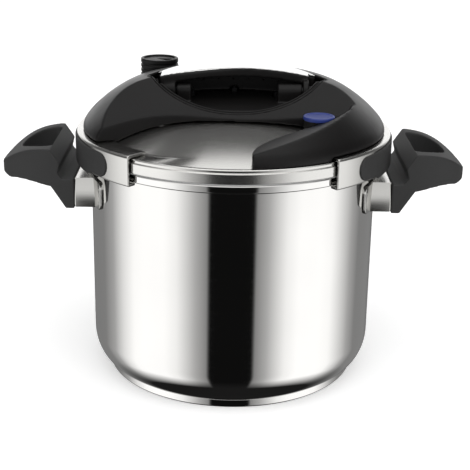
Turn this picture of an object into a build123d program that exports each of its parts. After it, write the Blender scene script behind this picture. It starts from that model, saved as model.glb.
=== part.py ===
from build123d import *
import os
from math import cos, degrees, radians, sin

os.makedirs("parts", exist_ok=True)

# ---------------------------------------------------------------------------
# Driving dimensions, in millimetres.  Origin: centre of the base, on the floor.
# +Z up, +X towards the right-hand side handle, -Y towards the front.
# ---------------------------------------------------------------------------

# Pot
POT_R = 120.0              # outside radius of the straight wall
POT_WALL = 1.2             # sheet thickness of the pot
POT_RIM_TOP = 194.4        # height of the rim's flat top
CORNER_WIDE = 20.0         # rounding of the lower corner, across
CORNER_TALL = 28.0         # rounding of the lower corner, up the wall
RIM_OUT = 5.8              # how far the rolled rim stands out of the wall
RIM_TALL = 7.2             # height of the rolled rim
RIM_ROUND = 1.4            # rounding of the rolled rim's outer edges

# Sandwich base
BASE_IN = 13.0             # how far the base's edge stands in from the wall
CAP_T = 0.8                # thickness of the steel cap
CORE_T = 4.2               # thickness of the aluminium core

# Side handles and their steel brackets
HANDLE_LONG = 65.0         # length of a handle beyond its bracket
BRACKET_DEEP = 10.0        # how far a bracket stands out of the wall
BRACKET_DROP = 44.4        # from the pot's rim down to a bracket's underside
BRACKET_TALL = 24.0        # height of a bracket
BRACKET_WIDE = 92.0        # width of a bracket and of its handle
BRACKET_WALL = 1.5         # sheet thickness of a bracket
FLANGE_T = 2.0             # thickness of the plate welded to the pot's wall
FLANGE_MARGIN = 12.0       # how far the plate runs past the bracket on each side
GRIP_RISE = 48.0           # from a bracket's underside up to the grip's ridge
GRIP_BAR = 17.0            # width of the grip's bar, seen from above
GRIP_SLOPE = 12.0          # fall of the grip's top from the ridge to the tip
SCREW_R = 2.5              # radius of a handle screw's shank
SCREW_HEAD_R = 4.6
SCREW_HEAD_T = 3.5
SCREW_LONG = 15.0          # length of the shank under the head

# Lid
LID_WALL = 1.2
RIM_CLEAR = 1.0            # gap between the rim's outside and the lid's skirt
LID_GAP = 1.1              # gap between the pot's rim and the skirt
SKIRT_TALL = 8.2
BEAD_TALL = 2.8            # small bead that rises above the skirt
LEDGE_WIDE = 16.0          # width of the ledge between the skirt and the dome
DOME_RISE = 20.0           # rise of the dome above the ledge
DOME_OUTER = (0.715, 0.57)   # a point on the dome's curve: share of its radius and of its rise
DOME_INNER = (0.442, 0.883)  # a second point, nearer the middle
DOME_FOOT = 0.42           # slope of the dome where it leaves the ledge

# Gasket
GASKET_WIDE = 13.0         # from the skirt's outside to the gasket's lips
GASKET_LIP = 1.7           # thickness of a lip
GASKET_BACK = 2.2          # thickness of the gasket's back wall
GASKET_GAP = 0.2           # gap between the gasket and the metal around it

# Jaws
JAW_SPAN = 52.4            # half the angle that a jaw covers
JAW_WALL = 2.0
JAW_GAP = 1.2              # gap between the lid's skirt and a jaw
JAW_LIP = 20.2             # width of the upper lip
JAW_HOOK = 8.2             # width of the lower lip, which hooks under the rim
JAW_CLEAR = 0.35           # gap between the lower lip and the pot's rim
LEDGE_CLEAR = 0.8          # gap between the upper lip and the lid's ledge
JAW_STROKE = 7.5           # how far a jaw slides outwards
INSERT_SPAN = 41.5         # half the angle that a plastic insert covers
INSERT_PROUD = 1.3         # how far the insert stands out of its jaw
INSERT_DEEP = 1.0          # depth of the recess that holds the insert
INSERT_TALL = 19.4         # height of the insert
INSERT_DROP = 1.0          # how far its middle hangs below the jaw
DROP_SPAN = 30.0           # half the angle that the hanging part covers
ARM_WIDE = 24.0            # width of the bar that draws a jaw
ARM_T = 2.0
ARM_RISE = 18.7            # height of the bar's level run above the jaw
ARM_SLOPE = 23.0           # length of its sloping run
ARM_LAP = 10.0             # how far it laps over the jaw's lip
ARM_END = 3.3              # how far it runs past the follower's middle
RIVET_R = 2.0

# Arch handle and its hinge
HINGE_Y = 5.0
HINGE_LIFT = 10.0          # height of the hinge's axis above the bars
KNUCKLE_R = 9.4            # radius of the handle's rounded ends
KNUCKLE_OUT = 62.0         # outer face of a knuckle
KNUCKLE_LEFT = 49.0        # inner face of the left knuckle's shoulder
KNUCKLE_RIGHT = 57.0       # inner face of the right knuckle's shoulder
ROOT_BACK = 13.5           # how far behind the hinge the arch widens past its knuckles
ARCH_FRONT = -4.0          # foremost line of the arch handle
PIN_R = 2.5
PIN_CLEAR = 0.05           # running clearance on a pin
DRUM_THICK = 2.0           # wall of a cam drum round its pin
DRUM_IN = 38.0             # inner end of a cam drum
GROOVE_DEEP = 1.9
FOLLOWER_R = 1.2
FOLLOWER_START = 39.8      # where a follower stands with the jaws shut
FOLLOWER_GAP = 0.15        # gap round a follower in its groove
PLATE_T = 2.5              # thickness of a hinge plate
PLATE_GAP = 0.5            # gap between a knuckle and its hinge plate
CROWN_RISE = 18.5          # height of the arch handle's top above the hinge
CROWN_ROUND = 331.0        # radius of its side-to-side curve
ARCH_T = 7.0               # thickness of the arch
TRIM_T = 1.6               # thickness of its steel trim
TRIM_BORDER = 2.6          # black border in front of the trim
FOLD_ANGLE = 90.0

# Cover
COVER_IN = 2.0             # how far the cover's edge stands in from the lid's skirt
PLAN_R = 126.0             # cover radius that the cover's plan outlines are drawn for
COVER_WALL = 3.0
COVER_GAP = 0.4            # gap between the cover and what it covers
COVER_ABOVE = 0.5          # height of the dome's crown above the arch handle
SLOPE_DROP = 4.1           # from the arch's top down to the sloping front face at Y = 0
SLOPE_RISE = 0.5165        # rise of the sloping face per millimetre of Y
LOBE_LIFT = 7.5            # height of the lobe's crest above the ledge at X = 0
LOBE_RISE = 0.23           # rise of the lobe's crest per millimetre of X
LOBE_SHIFT = 0.6           # share of a wall that the lobe's inner face moves to the front

# Eye-shaped opening: its two corners, and how far each side bows out
EYE_LEFT = (-73.0, 9.0)
EYE_RIGHT = (77.5, 7.0)
EYE_FRONT = (2.2, -43.5)
EYE_BACK = (2.2, 51.0)
WELL_LIFT = 1.5            # height of the well's floor above the bars
WELL_WALL = 1.5
SHROUD_WALL = 1.4          # wall of the well's housing over a cam drum
SHROUD_GAP = 0.5           # gap between a cam drum and that housing
WELL_GAP = 0.3
SWEEP_ROOM = 7.6           # room in the well round a knuckle, for the handle's root as it folds

# Operating valve
VALVE_X = -67.0
VALVE_Y = 70.0
VALVE_R = 16.5
VALVE_DROP = 3.5           # from the arch handle's top down to the valve's top
VALVE_TALL = 27.0
NOZZLE_R = 4.0
NOZZLE_BORE = 1.5

# Push button
BUTTON_X = 67.0
BUTTON_Y = -58.0
BUTTON_R = 12.5
BUTTON_LIFT = 25.9         # height of the button's face above the ledge
BUTTON_CAP_T = 3.0
BUTTON_BODY_T = 6.8
BUTTON_STROKE = 3.0
STEM_R = 3.0

# Safety valve
SAFETY_X = 55.0
SAFETY_Y = 76.0
SAFETY_R = 6.0
SAFETY_STEM = 3.6          # radius of the safety valve's threaded stem

# Sizes that follow from those above
RIM_R = POT_R + RIM_OUT
BASE_R = POT_R - BASE_IN
BASE_T = CAP_T + CORE_T
BRACKET_OUT = POT_R + BRACKET_DEEP
BRACKET_LOW = POT_RIM_TOP - BRACKET_DROP
HANDLE_TIP = BRACKET_OUT + HANDLE_LONG
GRIP_HIGH = BRACKET_LOW + GRIP_RISE
LID_R = RIM_R + RIM_CLEAR + LID_WALL
SKIRT_LOW = POT_RIM_TOP + LID_GAP
SKIRT_TOP = SKIRT_LOW + SKIRT_TALL
LEDGE_Z = SKIRT_TOP + BEAD_TALL
LEDGE_IN = LID_R - LEDGE_WIDE
GASKET_IN = LID_R - GASKET_WIDE
JAW_IN = LID_R + JAW_GAP
JAW_OUT = JAW_IN + JAW_WALL
JAW_TOP = LEDGE_Z + LEDGE_CLEAR + JAW_WALL
JAW_LOW = POT_RIM_TOP - RIM_TALL - JAW_CLEAR - JAW_WALL
LIP_IN = JAW_OUT - JAW_LIP
ARM_HIGH = JAW_TOP + ARM_RISE
ARM_BEND = LIP_IN - ARM_SLOPE
ARM_FOOT = LIP_IN + ARM_LAP
ARM_IN = FOLLOWER_START - ARM_END
HINGE_Z = ARM_HIGH + HINGE_LIFT
DRUM_R = PIN_R + DRUM_THICK
CROWN_Z = HINGE_Z + CROWN_RISE
COVER_R = LID_R - COVER_IN
COVER_LOW = JAW_TOP + COVER_GAP
COVER_TOP = CROWN_Z + COVER_ABOVE
SLOPE_FOOT = CROWN_Z - SLOPE_DROP
PLATE_IN = KNUCKLE_OUT + PLATE_GAP
LOBE_FOOT = LEDGE_Z + LOBE_LIFT
WELL_FLOOR = ARM_HIGH + WELL_LIFT
VALVE_TOP = CROWN_Z - VALVE_DROP
BUTTON_TOP = LEDGE_Z + BUTTON_LIFT
BRACKET_TOP = BRACKET_LOW + BRACKET_TALL
FLANGE_OUT = POT_R + FLANGE_T
BIG = 400.0


# ---------------------------------------------------------------------------
# Small helpers
# ---------------------------------------------------------------------------

def turned(*lines):
    """Turn a closed outline, drawn as (radius, height), about the pot's axis."""
    face = Plane.XZ * make_face(Curve() + list(lines))
    return revolve(face, Axis.Z)


def turned_ring(points):
    return turned(Polyline(*points, close=True))


def sector(solid, half_angle, side):
    """Keep the part of a ring within half_angle of the +X (side 1) or -X (side -1) axis."""
    edge_y = BIG * sin(radians(half_angle))
    edge_x = BIG * cos(radians(half_angle))
    wedge = Polyline((0, 0), (edge_x, edge_y), (BIG * 1.5, 0), (edge_x, -edge_y), close=True)
    block = extrude(make_face(wedge), BIG)
    if side < 0:
        block = mirror(block, Plane.YZ)
    return solid & block


def on_side(solid, side):
    """A piece drawn for the right-hand side, or its mirror image for the left."""
    if side > 0:
        return solid
    return mirror(solid, Plane.YZ)


def upright(x, y, radius, low, high):
    return Pos(x, y, low) * Cylinder(radius, high - low, align=(Align.CENTER, Align.CENTER, Align.MIN))


def across(x_low, x_high, y, z, radius):
    """A cylinder along X."""
    rod = Cylinder(radius, x_high - x_low, align=(Align.CENTER, Align.CENTER, Align.MIN))
    return Pos(x_low, y, z) * Rot(0, 90, 0) * rod


def block(x_low, x_high, y_low, y_high, z_low, z_high):
    box = Box(x_high - x_low, y_high - y_low, z_high - z_low)
    return Pos((x_low + x_high) / 2, (y_low + y_high) / 2, (z_low + z_high) / 2) * box


def hexagon_nut(x, y, across_flats, bore, low, high):
    flat = across_flats / 2 / cos(radians(30))
    nut = extrude(RegularPolygon(flat, 6), high - low)
    return Pos(x, y, low) * nut - upright(x, y, bore, low - 1, high + 1)


def save(name, shape):
    """Write one sub-part, as a solid or as a group of separate solids."""
    solids = shape.solids()
    shape = solids[0] if len(solids) == 1 else Compound(children=list(solids))
    shape.label = name
    export_step(shape, f"parts/{name}.step")


# ---------------------------------------------------------------------------
# Pot
# ---------------------------------------------------------------------------

def pot_outline_corner(wall):
    """Elliptical lower corner, moved inwards by wall."""
    return EllipticalCenterArc(
        (POT_R - CORNER_WIDE, BASE_T + CORNER_TALL),
        CORNER_WIDE - wall,
        CORNER_TALL - wall,
        start_angle=270,
        arc_size=90,
    )


def pot_solid():
    """The pot filled in, from its flat bottom to the foot of its rim."""
    corner = pot_outline_corner(0)
    rim_low = POT_RIM_TOP - RIM_TALL
    sides = Polyline(
        (POT_R, BASE_T + CORNER_TALL),
        (POT_R, rim_low),
        (0, rim_low),
        (0, BASE_T),
        (POT_R - CORNER_WIDE, BASE_T),
    )
    return turned(corner, sides)


def pot_body():
    outer = pot_outline_corner(0)
    inner = pot_outline_corner(POT_WALL)
    rim_low = POT_RIM_TOP - RIM_TALL
    rim = Polyline(
        (POT_R, BASE_T + CORNER_TALL),
        (POT_R, rim_low),
        (RIM_R - RIM_ROUND, rim_low),
        (RIM_R, rim_low + RIM_ROUND),
        (RIM_R, POT_RIM_TOP - RIM_ROUND),
        (RIM_R - RIM_ROUND, POT_RIM_TOP),
        (POT_R - POT_WALL, POT_RIM_TOP),
        (POT_R - POT_WALL, BASE_T + CORNER_TALL),
    )
    bottom = Polyline(
        (POT_R - CORNER_WIDE, BASE_T + POT_WALL),
        (0, BASE_T + POT_WALL),
        (0, BASE_T),
        (POT_R - CORNER_WIDE, BASE_T),
    )
    return turned(outer, rim, inner, bottom)


def base_core():
    return upright(0, 0, BASE_R - CAP_T - 2.0, CAP_T, BASE_T)


def base_cap():
    cup = upright(0, 0, BASE_R, 0, BASE_T + 4.0)
    hollow = upright(0, 0, BASE_R - CAP_T, CAP_T, BASE_T + 4.0)
    lip = cup - hollow - pot_solid()
    return lip.solids().sort_by(SortBy.VOLUME)[-1]


# ---------------------------------------------------------------------------
# Side handles
# ---------------------------------------------------------------------------

def flange_plate(side):
    half_wide = BRACKET_WIDE / 2 + FLANGE_MARGIN
    ring = upright(0, 0, FLANGE_OUT, BRACKET_LOW, BRACKET_TOP) - upright(0, 0, POT_R, 0, BIG)
    plate = ring & block(0, BIG, -half_wide, half_wide, BRACKET_LOW, BRACKET_TOP)
    return on_side(plate, side)


def bracket(side):
    half = BRACKET_WIDE / 2
    inner = half - BRACKET_WALL
    outer_box = block(0, BRACKET_OUT, -half, half, BRACKET_LOW, BRACKET_TOP)
    hollow = block(
        0,
        BRACKET_OUT - BRACKET_WALL,
        -inner,
        inner,
        BRACKET_LOW + BRACKET_WALL,
        BRACKET_TOP - BRACKET_WALL,
    )
    sleeve = outer_box - hollow - upright(0, 0, FLANGE_OUT, 0, BIG)
    screw_way = across(BRACKET_OUT - 10, BRACKET_OUT + 10, 0, screw_height(), SCREW_R + 0.2)
    return on_side(sleeve - screw_way, side)


def screw_height():
    return BRACKET_LOW + BRACKET_TALL / 2


def screw_seat():
    """Distance from the axis to the face that a handle screw's head bears on."""
    return BRACKET_OUT + 8.0


def bracket_boss(side):
    """Threaded block inside the bracket's outer end."""
    end = BRACKET_OUT - BRACKET_WALL
    z = screw_height()
    boss = block(end - 5.5, end, -10, 10, z - 7, z + 7)
    boss -= across(end - 10, end + 5, 0, z, SCREW_R + 0.05)
    return on_side(boss, side)


def handle_screw(side):
    seat = screw_seat()
    z = screw_height()
    shank = across(seat - SCREW_LONG, seat, 0, z, SCREW_R)
    head = across(seat, seat + SCREW_HEAD_T, 0, z, SCREW_HEAD_R)
    slot = block(seat + SCREW_HEAD_T - 1.5, seat + SCREW_HEAD_T + 1, -8, 8, z - 0.6, z + 0.6)
    return on_side(shank + head - slot, side)


def half_oval(x_start, x_end, half_wide):
    """Plan outline of the grip: half an ellipse that points away from the pot."""
    oval = EllipticalCenterArc((x_start, 0), x_end - x_start, half_wide, start_angle=-90, arc_size=180)
    back = Line((x_start, half_wide), (x_start, -half_wide))
    return make_face(Curve() + [oval, back])


def side_handle(side):
    half = BRACKET_WIDE / 2
    ridge = BRACKET_OUT + 20
    side_view = Polyline(
        (BRACKET_OUT, BRACKET_LOW - 1.5),
        (BRACKET_OUT + 7, BRACKET_LOW - 1.5),
        (BRACKET_OUT + 19, BRACKET_LOW + 17),
        (HANDLE_TIP - 9, GRIP_HIGH - 27.5),
        (HANDLE_TIP, GRIP_HIGH - 20.5),
        (HANDLE_TIP, GRIP_HIGH - GRIP_SLOPE),
        (ridge + 2, GRIP_HIGH),
        (ridge - 1, GRIP_HIGH),
        (ridge - 9, GRIP_HIGH - 12),
        (ridge - 7, GRIP_HIGH - 20),
        (ridge - 10.4, BRACKET_TOP - 0.5),
        (BRACKET_OUT, BRACKET_TOP - 0.5),
        close=True,
    )
    profile = Plane.XZ * make_face(side_view)
    slab = extrude(profile, half) + extrude(profile, -half)
    root = BRACKET_OUT + 12
    plan = extrude(half_oval(root, HANDLE_TIP, half), BIG)
    plan += block(BRACKET_OUT, root, -half, half, 0, BIG)
    hole_start = root + 7
    hole = half_oval(hole_start, HANDLE_TIP - GRIP_BAR, half - GRIP_BAR + 4)
    hole = fillet(hole.vertices(), 5.0)
    body = (slab & plan) - extrude(hole, BIG)
    z = screw_height()
    seat = screw_seat()
    body -= across(BRACKET_OUT - 1, seat + 1, 0, z, SCREW_R + 0.2)
    body -= across(seat, BIG, 0, z, SCREW_HEAD_R + 0.6)
    return on_side(body, side)


# ---------------------------------------------------------------------------
# Lid shell and gasket
# ---------------------------------------------------------------------------

def dome_line(drop):
    """The dome's curve from the ledge to the middle, lowered by drop."""
    top = LEDGE_Z + DOME_RISE
    return Spline(
        (LEDGE_IN, LEDGE_Z - drop),
        (LEDGE_IN * DOME_OUTER[0], LEDGE_Z + DOME_RISE * DOME_OUTER[1] - drop),
        (LEDGE_IN * DOME_INNER[0], LEDGE_Z + DOME_RISE * DOME_INNER[1] - drop),
        (0, top - drop),
        tangents=[(-1, DOME_FOOT), (-1, 0)],
    )


def below_dome(lift):
    """Everything under the lid's upper surface, which is raised by lift."""
    sides = Polyline(
        (0, LEDGE_Z + DOME_RISE + lift),
        (0, SKIRT_LOW - 30),
        (LID_R + 20, SKIRT_LOW - 30),
        (LID_R + 20, LEDGE_Z + lift),
        (LEDGE_IN, LEDGE_Z + lift),
    )
    return turned(dome_line(-lift), sides)


def lid_shell():
    inner_r = LID_R - LID_WALL
    edge_out = Polyline(
        (0, LEDGE_Z + DOME_RISE - LID_WALL),
        (0, LEDGE_Z + DOME_RISE),
    )
    edge = Polyline(
        (LEDGE_IN, LEDGE_Z),
        (LID_R - 2.0, LEDGE_Z),
        (LID_R - 1.2, LEDGE_Z - 0.8),
        (LID_R - 1.2, SKIRT_TOP + 0.6),
        (LID_R, SKIRT_TOP - 0.4),
        (LID_R, SKIRT_LOW),
        (inner_r, SKIRT_LOW),
        (inner_r, SKIRT_TOP - 0.8),
        (inner_r - 1.2, SKIRT_TOP + 0.2),
        (inner_r - 1.2, LEDGE_Z - LID_WALL),
        (LEDGE_IN, LEDGE_Z - LID_WALL),
    )
    shell = turned(dome_line(0), edge, dome_line(LID_WALL), edge_out)
    shell -= upright(VALVE_X, VALVE_Y, NOZZLE_R + 0.1, 0, BIG)
    shell -= upright(BUTTON_X, BUTTON_Y, guide_radius() + 0.1, 0, BIG)
    shell -= upright(SAFETY_X, SAFETY_Y, SAFETY_STEM + 0.1, 0, BIG)
    return shell


def gasket():
    out = LID_R - LID_WALL - GASKET_GAP
    low = POT_RIM_TOP + GASKET_GAP
    high = LEDGE_Z - LID_WALL - GASKET_GAP
    neck = out - 1.2
    return turned_ring([
        (GASKET_IN, low),
        (out, low),
        (out, SKIRT_TOP - 1.2),
        (neck, SKIRT_TOP),
        (neck, high),
        (GASKET_IN, high),
        (GASKET_IN, high - GASKET_LIP),
        (neck - GASKET_BACK, high - GASKET_LIP),
        (neck - GASKET_BACK, low + GASKET_LIP),
        (GASKET_IN, low + GASKET_LIP),
    ])


# ---------------------------------------------------------------------------
# Jaws
# ---------------------------------------------------------------------------

def insert_outline(span, grow):
    """Ring sector with rounded ends that an insert fills; grow widens it all round."""
    mid = JAW_LOW + (JAW_TOP - JAW_LOW) / 2 - 1.0
    half_tall = INSERT_TALL / 2 + grow
    ring = upright(0, 0, JAW_OUT + INSERT_PROUD, mid - half_tall, mid + half_tall)
    end_angle = span - degrees(half_tall / JAW_OUT)
    long_part = sector(ring, end_angle, 1)
    ends = None
    for turn in (end_angle, -end_angle):
        nose = across(100, BIG, 0, mid, half_tall)
        nose = Rot(0, 0, turn) * nose
        ends = nose & ring if ends is None else ends + (nose & ring)
    skirt = upright(0, 0, JAW_OUT + INSERT_PROUD, JAW_LOW - INSERT_DROP, mid)
    return long_part + ends + sector(skirt, DROP_SPAN + degrees(grow / JAW_OUT), 1)


def jaw(side):
    section = turned_ring([
        (LIP_IN, JAW_TOP),
        (JAW_OUT - 1.0, JAW_TOP),
        (JAW_OUT, JAW_TOP - 1.0),
        (JAW_OUT, JAW_LOW + 1.0),
        (JAW_OUT - 1.0, JAW_LOW),
        (JAW_OUT - JAW_HOOK, JAW_LOW),
        (JAW_OUT - JAW_HOOK, JAW_LOW + JAW_WALL),
        (JAW_IN, JAW_LOW + JAW_WALL),
        (JAW_IN, JAW_TOP - JAW_WALL),
        (LIP_IN, JAW_TOP - JAW_WALL),
    ])
    steel = sector(section, JAW_SPAN, 1)
    recess = insert_outline(INSERT_SPAN, 0.1) - upright(0, 0, JAW_OUT - INSERT_DEEP, 0, BIG)
    steel -= recess
    for x, y in rivet_places():
        steel -= upright(x, y, RIVET_R + 0.05, 0, BIG)
    return on_side(steel, side)


def jaw_insert(side):
    body = insert_outline(INSERT_SPAN, 0) - upright(0, 0, JAW_OUT - INSERT_DEEP + 0.02, 0, BIG)
    return on_side(body, side)


def rivet_places():
    mid = (LIP_IN + ARM_FOOT) / 2
    return [(mid, HINGE_Y - 7.0), (mid, HINGE_Y + 7.0)]


def jaw_arm(side):
    half = ARM_WIDE / 2
    low = JAW_TOP
    side_view = Polyline(
        (ARM_FOOT, low),
        (ARM_FOOT, low + ARM_T),
        (LIP_IN + 1.5, low + ARM_T),
        (ARM_BEND, ARM_HIGH),
        (ARM_IN, ARM_HIGH),
        (ARM_IN, ARM_HIGH - ARM_T),
        (ARM_BEND - 1.5, ARM_HIGH - ARM_T),
        (LIP_IN, low),
        close=True,
    )
    profile = Plane.XZ * make_face(side_view)
    bar = Pos(0, HINGE_Y, 0) * (extrude(profile, half) + extrude(profile, -half))
    for x, y in rivet_places():
        bar -= upright(x, y, RIVET_R + 0.05, 0, BIG)
    bar -= upright(FOLLOWER_START, HINGE_Y, FOLLOWER_R + 0.05, 0, BIG)
    return on_side(bar, side)


def jaw_rivets(side):
    pair = None
    for x, y in rivet_places():
        rivet = upright(x, y, RIVET_R, JAW_TOP - JAW_WALL, JAW_TOP + ARM_T)
        pair = rivet if pair is None else pair + rivet
    return on_side(pair, side)


def follower(side):
    """Pin on the bar that rides in the drum's groove."""
    tip = HINGE_Z - DRUM_R + GROOVE_DEEP - 0.4
    pin = upright(FOLLOWER_START, HINGE_Y, FOLLOWER_R, ARM_HIGH - ARM_T, tip)
    return on_side(pin, side)


# ---------------------------------------------------------------------------
# Eye-shaped opening, arch handle and hinge
# ---------------------------------------------------------------------------

def eye_face(inset):
    """Plan outline of the eye-shaped opening, moved inwards by inset."""
    front = ThreePointArc(EYE_LEFT, EYE_FRONT, EYE_RIGHT)
    back = ThreePointArc(EYE_RIGHT, EYE_BACK, EYE_LEFT)
    face = make_face(Curve() + [front, back])
    if inset == 0:
        return face
    return offset(face, amount=-inset)


def crown_solid(drop):
    """Everything under the arch handle's side-to-side curve, lowered by drop."""
    disc = Cylinder(CROWN_ROUND - drop, 400)
    return Pos(0, 0, CROWN_Z - CROWN_ROUND) * Rot(90, 0, 0) * disc


def slope_solid(drop):
    """Everything under the cover's sloping front face, lowered by drop."""
    far_y = 100.0
    near_y = -200.0
    side_view = Polyline(
        (near_y, 0),
        (near_y, SLOPE_FOOT + SLOPE_RISE * near_y - drop),
        (far_y, SLOPE_FOOT + SLOPE_RISE * far_y - drop),
        (200, SLOPE_FOOT + SLOPE_RISE * far_y - drop),
        (200, 0),
        close=True,
    )
    profile = Plane.YZ * make_face(side_view)
    return extrude(profile, 200) + extrude(profile, -200)


def arch_plan(inset):
    """Plan of the arch handle: the back of the eye, with a curved front edge."""
    front_edge = Spline(
        (-90, ARCH_FRONT),
        (-KNUCKLE_LEFT, -1),
        (-4, 6),
        (13, 8),
        (41, 8),
        (90, 6),
    )
    rest = Polyline((90, 6), (90, 90), (-90, 90), (-90, ARCH_FRONT))
    back_half = Pos(0, inset, 0) * make_face(Curve() + [front_edge, rest])
    return extrude(eye_face(WELL_GAP + 0.5) & back_half, BIG)


def knuckles(clear):
    """Rounded ends of the handle, which are true to the hinge's axis."""
    radius = KNUCKLE_R + clear
    left = across(-KNUCKLE_OUT - clear, -KNUCKLE_LEFT + clear, HINGE_Y, HINGE_Z, radius)
    right = across(KNUCKLE_RIGHT - clear, KNUCKLE_OUT + clear, HINGE_Y, HINGE_Z, radius)
    return left + right


def arch_solid():
    """The whole folding handle, plastic and trim together."""
    arch = arch_plan(0) & crown_solid(0) & slope_solid(0)
    tunnel = crown_solid(ARCH_T) & block(-KNUCKLE_RIGHT, KNUCKLE_RIGHT, -BIG, BIG, 0, BIG)
    arch -= tunnel
    arch -= block(-BIG, BIG, -BIG, BIG, 0, HINGE_Z)
    behind = HINGE_Y + ROOT_BACK
    outside = block(-BIG, -KNUCKLE_OUT, -BIG, behind, 0, BIG)
    outside += block(KNUCKLE_OUT, BIG, -BIG, behind, 0, BIG)
    arch -= outside
    ends = knuckles(0) & slope_solid(0) & extrude(eye_face(-4.0), BIG)
    return arch + ends


def trim_layer():
    """The outer layer of the handle, which the steel trim takes."""
    under = crown_solid(TRIM_T) & slope_solid(TRIM_T)
    return arch_plan(TRIM_BORDER) - under


def arch_handle():
    body = arch_solid() - trim_layer()
    left_drum = across(-KNUCKLE_OUT - 2, -DRUM_IN + 2, HINGE_Y, HINGE_Z, PIN_R + PIN_CLEAR)
    right_drum = across(DRUM_IN - 2, KNUCKLE_OUT + 2, HINGE_Y, HINGE_Z, PIN_R + PIN_CLEAR)
    body -= left_drum
    body -= right_drum
    body -= across(-drum_out() - 0.02, -DRUM_IN, HINGE_Y, HINGE_Z, DRUM_R + 0.02)
    body -= across(DRUM_IN, drum_out() + 0.02, HINGE_Y, HINGE_Z, DRUM_R + 0.02)
    return body.solids().sort_by(SortBy.VOLUME)[-1]


def arch_trim():
    trim = arch_solid() & trim_layer()
    return trim.solids().sort_by(SortBy.VOLUME)[-1]


def drum_out():
    return KNUCKLE_RIGHT + 1.5


def groove(side):
    """Helical groove, a quarter turn long, with a lead that gives the jaw its stroke."""
    lead = JAW_STROKE * 360.0 / FOLD_ANGLE
    extra = 1.5
    start = FOLLOWER_START - extra
    turn = (JAW_STROKE + 2 * extra) / lead * 360.0
    steps = 24
    cut = None
    for step in range(steps + 1):
        share = step / steps
        x = start + (JAW_STROKE + 2 * extra) * share
        angle = -(turn * share - extra / lead * 360.0)
        stub = upright(0, 0, FOLLOWER_R + FOLLOWER_GAP, -DRUM_R - 1, -DRUM_R + GROOVE_DEEP)
        stub = Pos(x, HINGE_Y, HINGE_Z) * Rot(angle, 0, 0) * stub
        cut = stub if cut is None else cut + stub
    return cut


def cam_drum(side):
    drum = across(DRUM_IN, drum_out(), HINGE_Y, HINGE_Z, DRUM_R)
    drum -= groove(1)
    drum -= across(0, BIG, HINGE_Y, HINGE_Z, PIN_R + PIN_CLEAR)
    return on_side(drum, side)


def hinge_pin(side):
    low = DRUM_IN - SHROUD_GAP / 2
    pin = across(low, PLATE_IN + PLATE_T + 1, HINGE_Y, HINGE_Z, PIN_R)
    return on_side(pin, side)


def hinge_plate(side):
    """Plate welded on the lid: it carries the pin and guides the jaw's bar under its arch."""
    x_low = PLATE_IN
    x_high = x_low + PLATE_T
    foot = ARM_WIDE / 2 + 4.0
    plate = block(x_low, x_high, HINGE_Y - foot, HINGE_Y + foot, LEDGE_Z, ARM_HIGH + 3.5)
    eye = PIN_R + 2.1
    neck = block(x_low, x_high, HINGE_Y - eye, HINGE_Y + eye, ARM_HIGH, HINGE_Z)
    plate += neck + across(x_low, x_high, HINGE_Y, HINGE_Z, eye)
    way = ARM_WIDE / 2 + 0.3
    plate -= block(0, BIG, HINGE_Y - way, HINGE_Y + way, 0, ARM_HIGH + 0.3)
    plate -= below_dome(0)
    plate -= across(0, BIG, HINGE_Y, HINGE_Z, PIN_R + 0.01)
    return on_side(plate, side)


# ---------------------------------------------------------------------------
# Cover and finger well
# ---------------------------------------------------------------------------

def cover_dome(inset):
    """The cover's turned outer form, moved inwards by inset."""
    outer = COVER_R - inset
    curve = Spline(
        (outer, COVER_LOW),
        (outer - 5.0, COVER_LOW + 10.5),
        (outer - 14.0, COVER_LOW + 19.4 - inset * 0.3),
        (outer - 26.0, COVER_LOW + 28.4 - inset * 0.5),
        (outer - 46.0, COVER_LOW + 37.8 - inset * 0.8),
        (outer - 76.0, COVER_LOW + 44.4 - inset),
        (0, COVER_TOP - inset),
        tangents=[(-0.05, 1), (-1, 0)],
    )
    sides = Polyline(
        (0, COVER_TOP - inset),
        (0, LEDGE_Z - 2),
        (outer, LEDGE_Z - 2),
        (outer, COVER_LOW),
    )
    return turned(curve, sides)


def main_plan(inset):
    """Plan of the cover's large part: everything behind its front edge."""
    edge = Spline((-140, -84), (-100, -60), (-59, -47), (0, -49.5), (52, -47), (140, -47))
    rest = Polyline((140, -47), (140, 140), (-140, 140), (-140, -84))
    face = scale(make_face(Curve() + [edge, rest]), COVER_R / PLAN_R)
    return Pos(0, inset, 0) * extrude(face, BIG)


def lobe_plan(inset):
    """Plan of the raised lobe that sweeps round the right side to the front.

    Its inner face is the same curve, moved towards the right and the front.
    """
    edge = Spline(
        (79, 30),
        (79, 5),
        (95, -15),
        (94, -38),
        (82, -60),
        (64, -73),
        (45, -80),
        (28, -90),
        (17, -103),
        (14, -115),
        (20, -140),
    )
    rest = Polyline((20, -140), (160, -140), (160, 30), (79, 30))
    face = scale(make_face(Curve() + [edge, rest]), COVER_R / PLAN_R)
    return Pos(inset, -LOBE_SHIFT * inset, 0) * extrude(face, BIG)


def lobe_crest(drop):
    """Everything under the lobe's crest, which falls towards its nose."""
    side_view = Polyline(
        (-50, 0),
        (-50, LOBE_FOOT - 50 * LOBE_RISE - drop),
        (200, LOBE_FOOT + 200 * LOBE_RISE - drop),
        (200, 0),
        close=True,
    )
    profile = Plane.XZ * make_face(side_view)
    return extrude(profile, 200) + extrude(profile, -200)


def cover_form(inset):
    dome = cover_dome(inset)
    main = dome & main_plan(inset) & slope_solid(inset)
    lobe = dome & lobe_plan(inset) & lobe_crest(inset)
    return main + lobe


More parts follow.
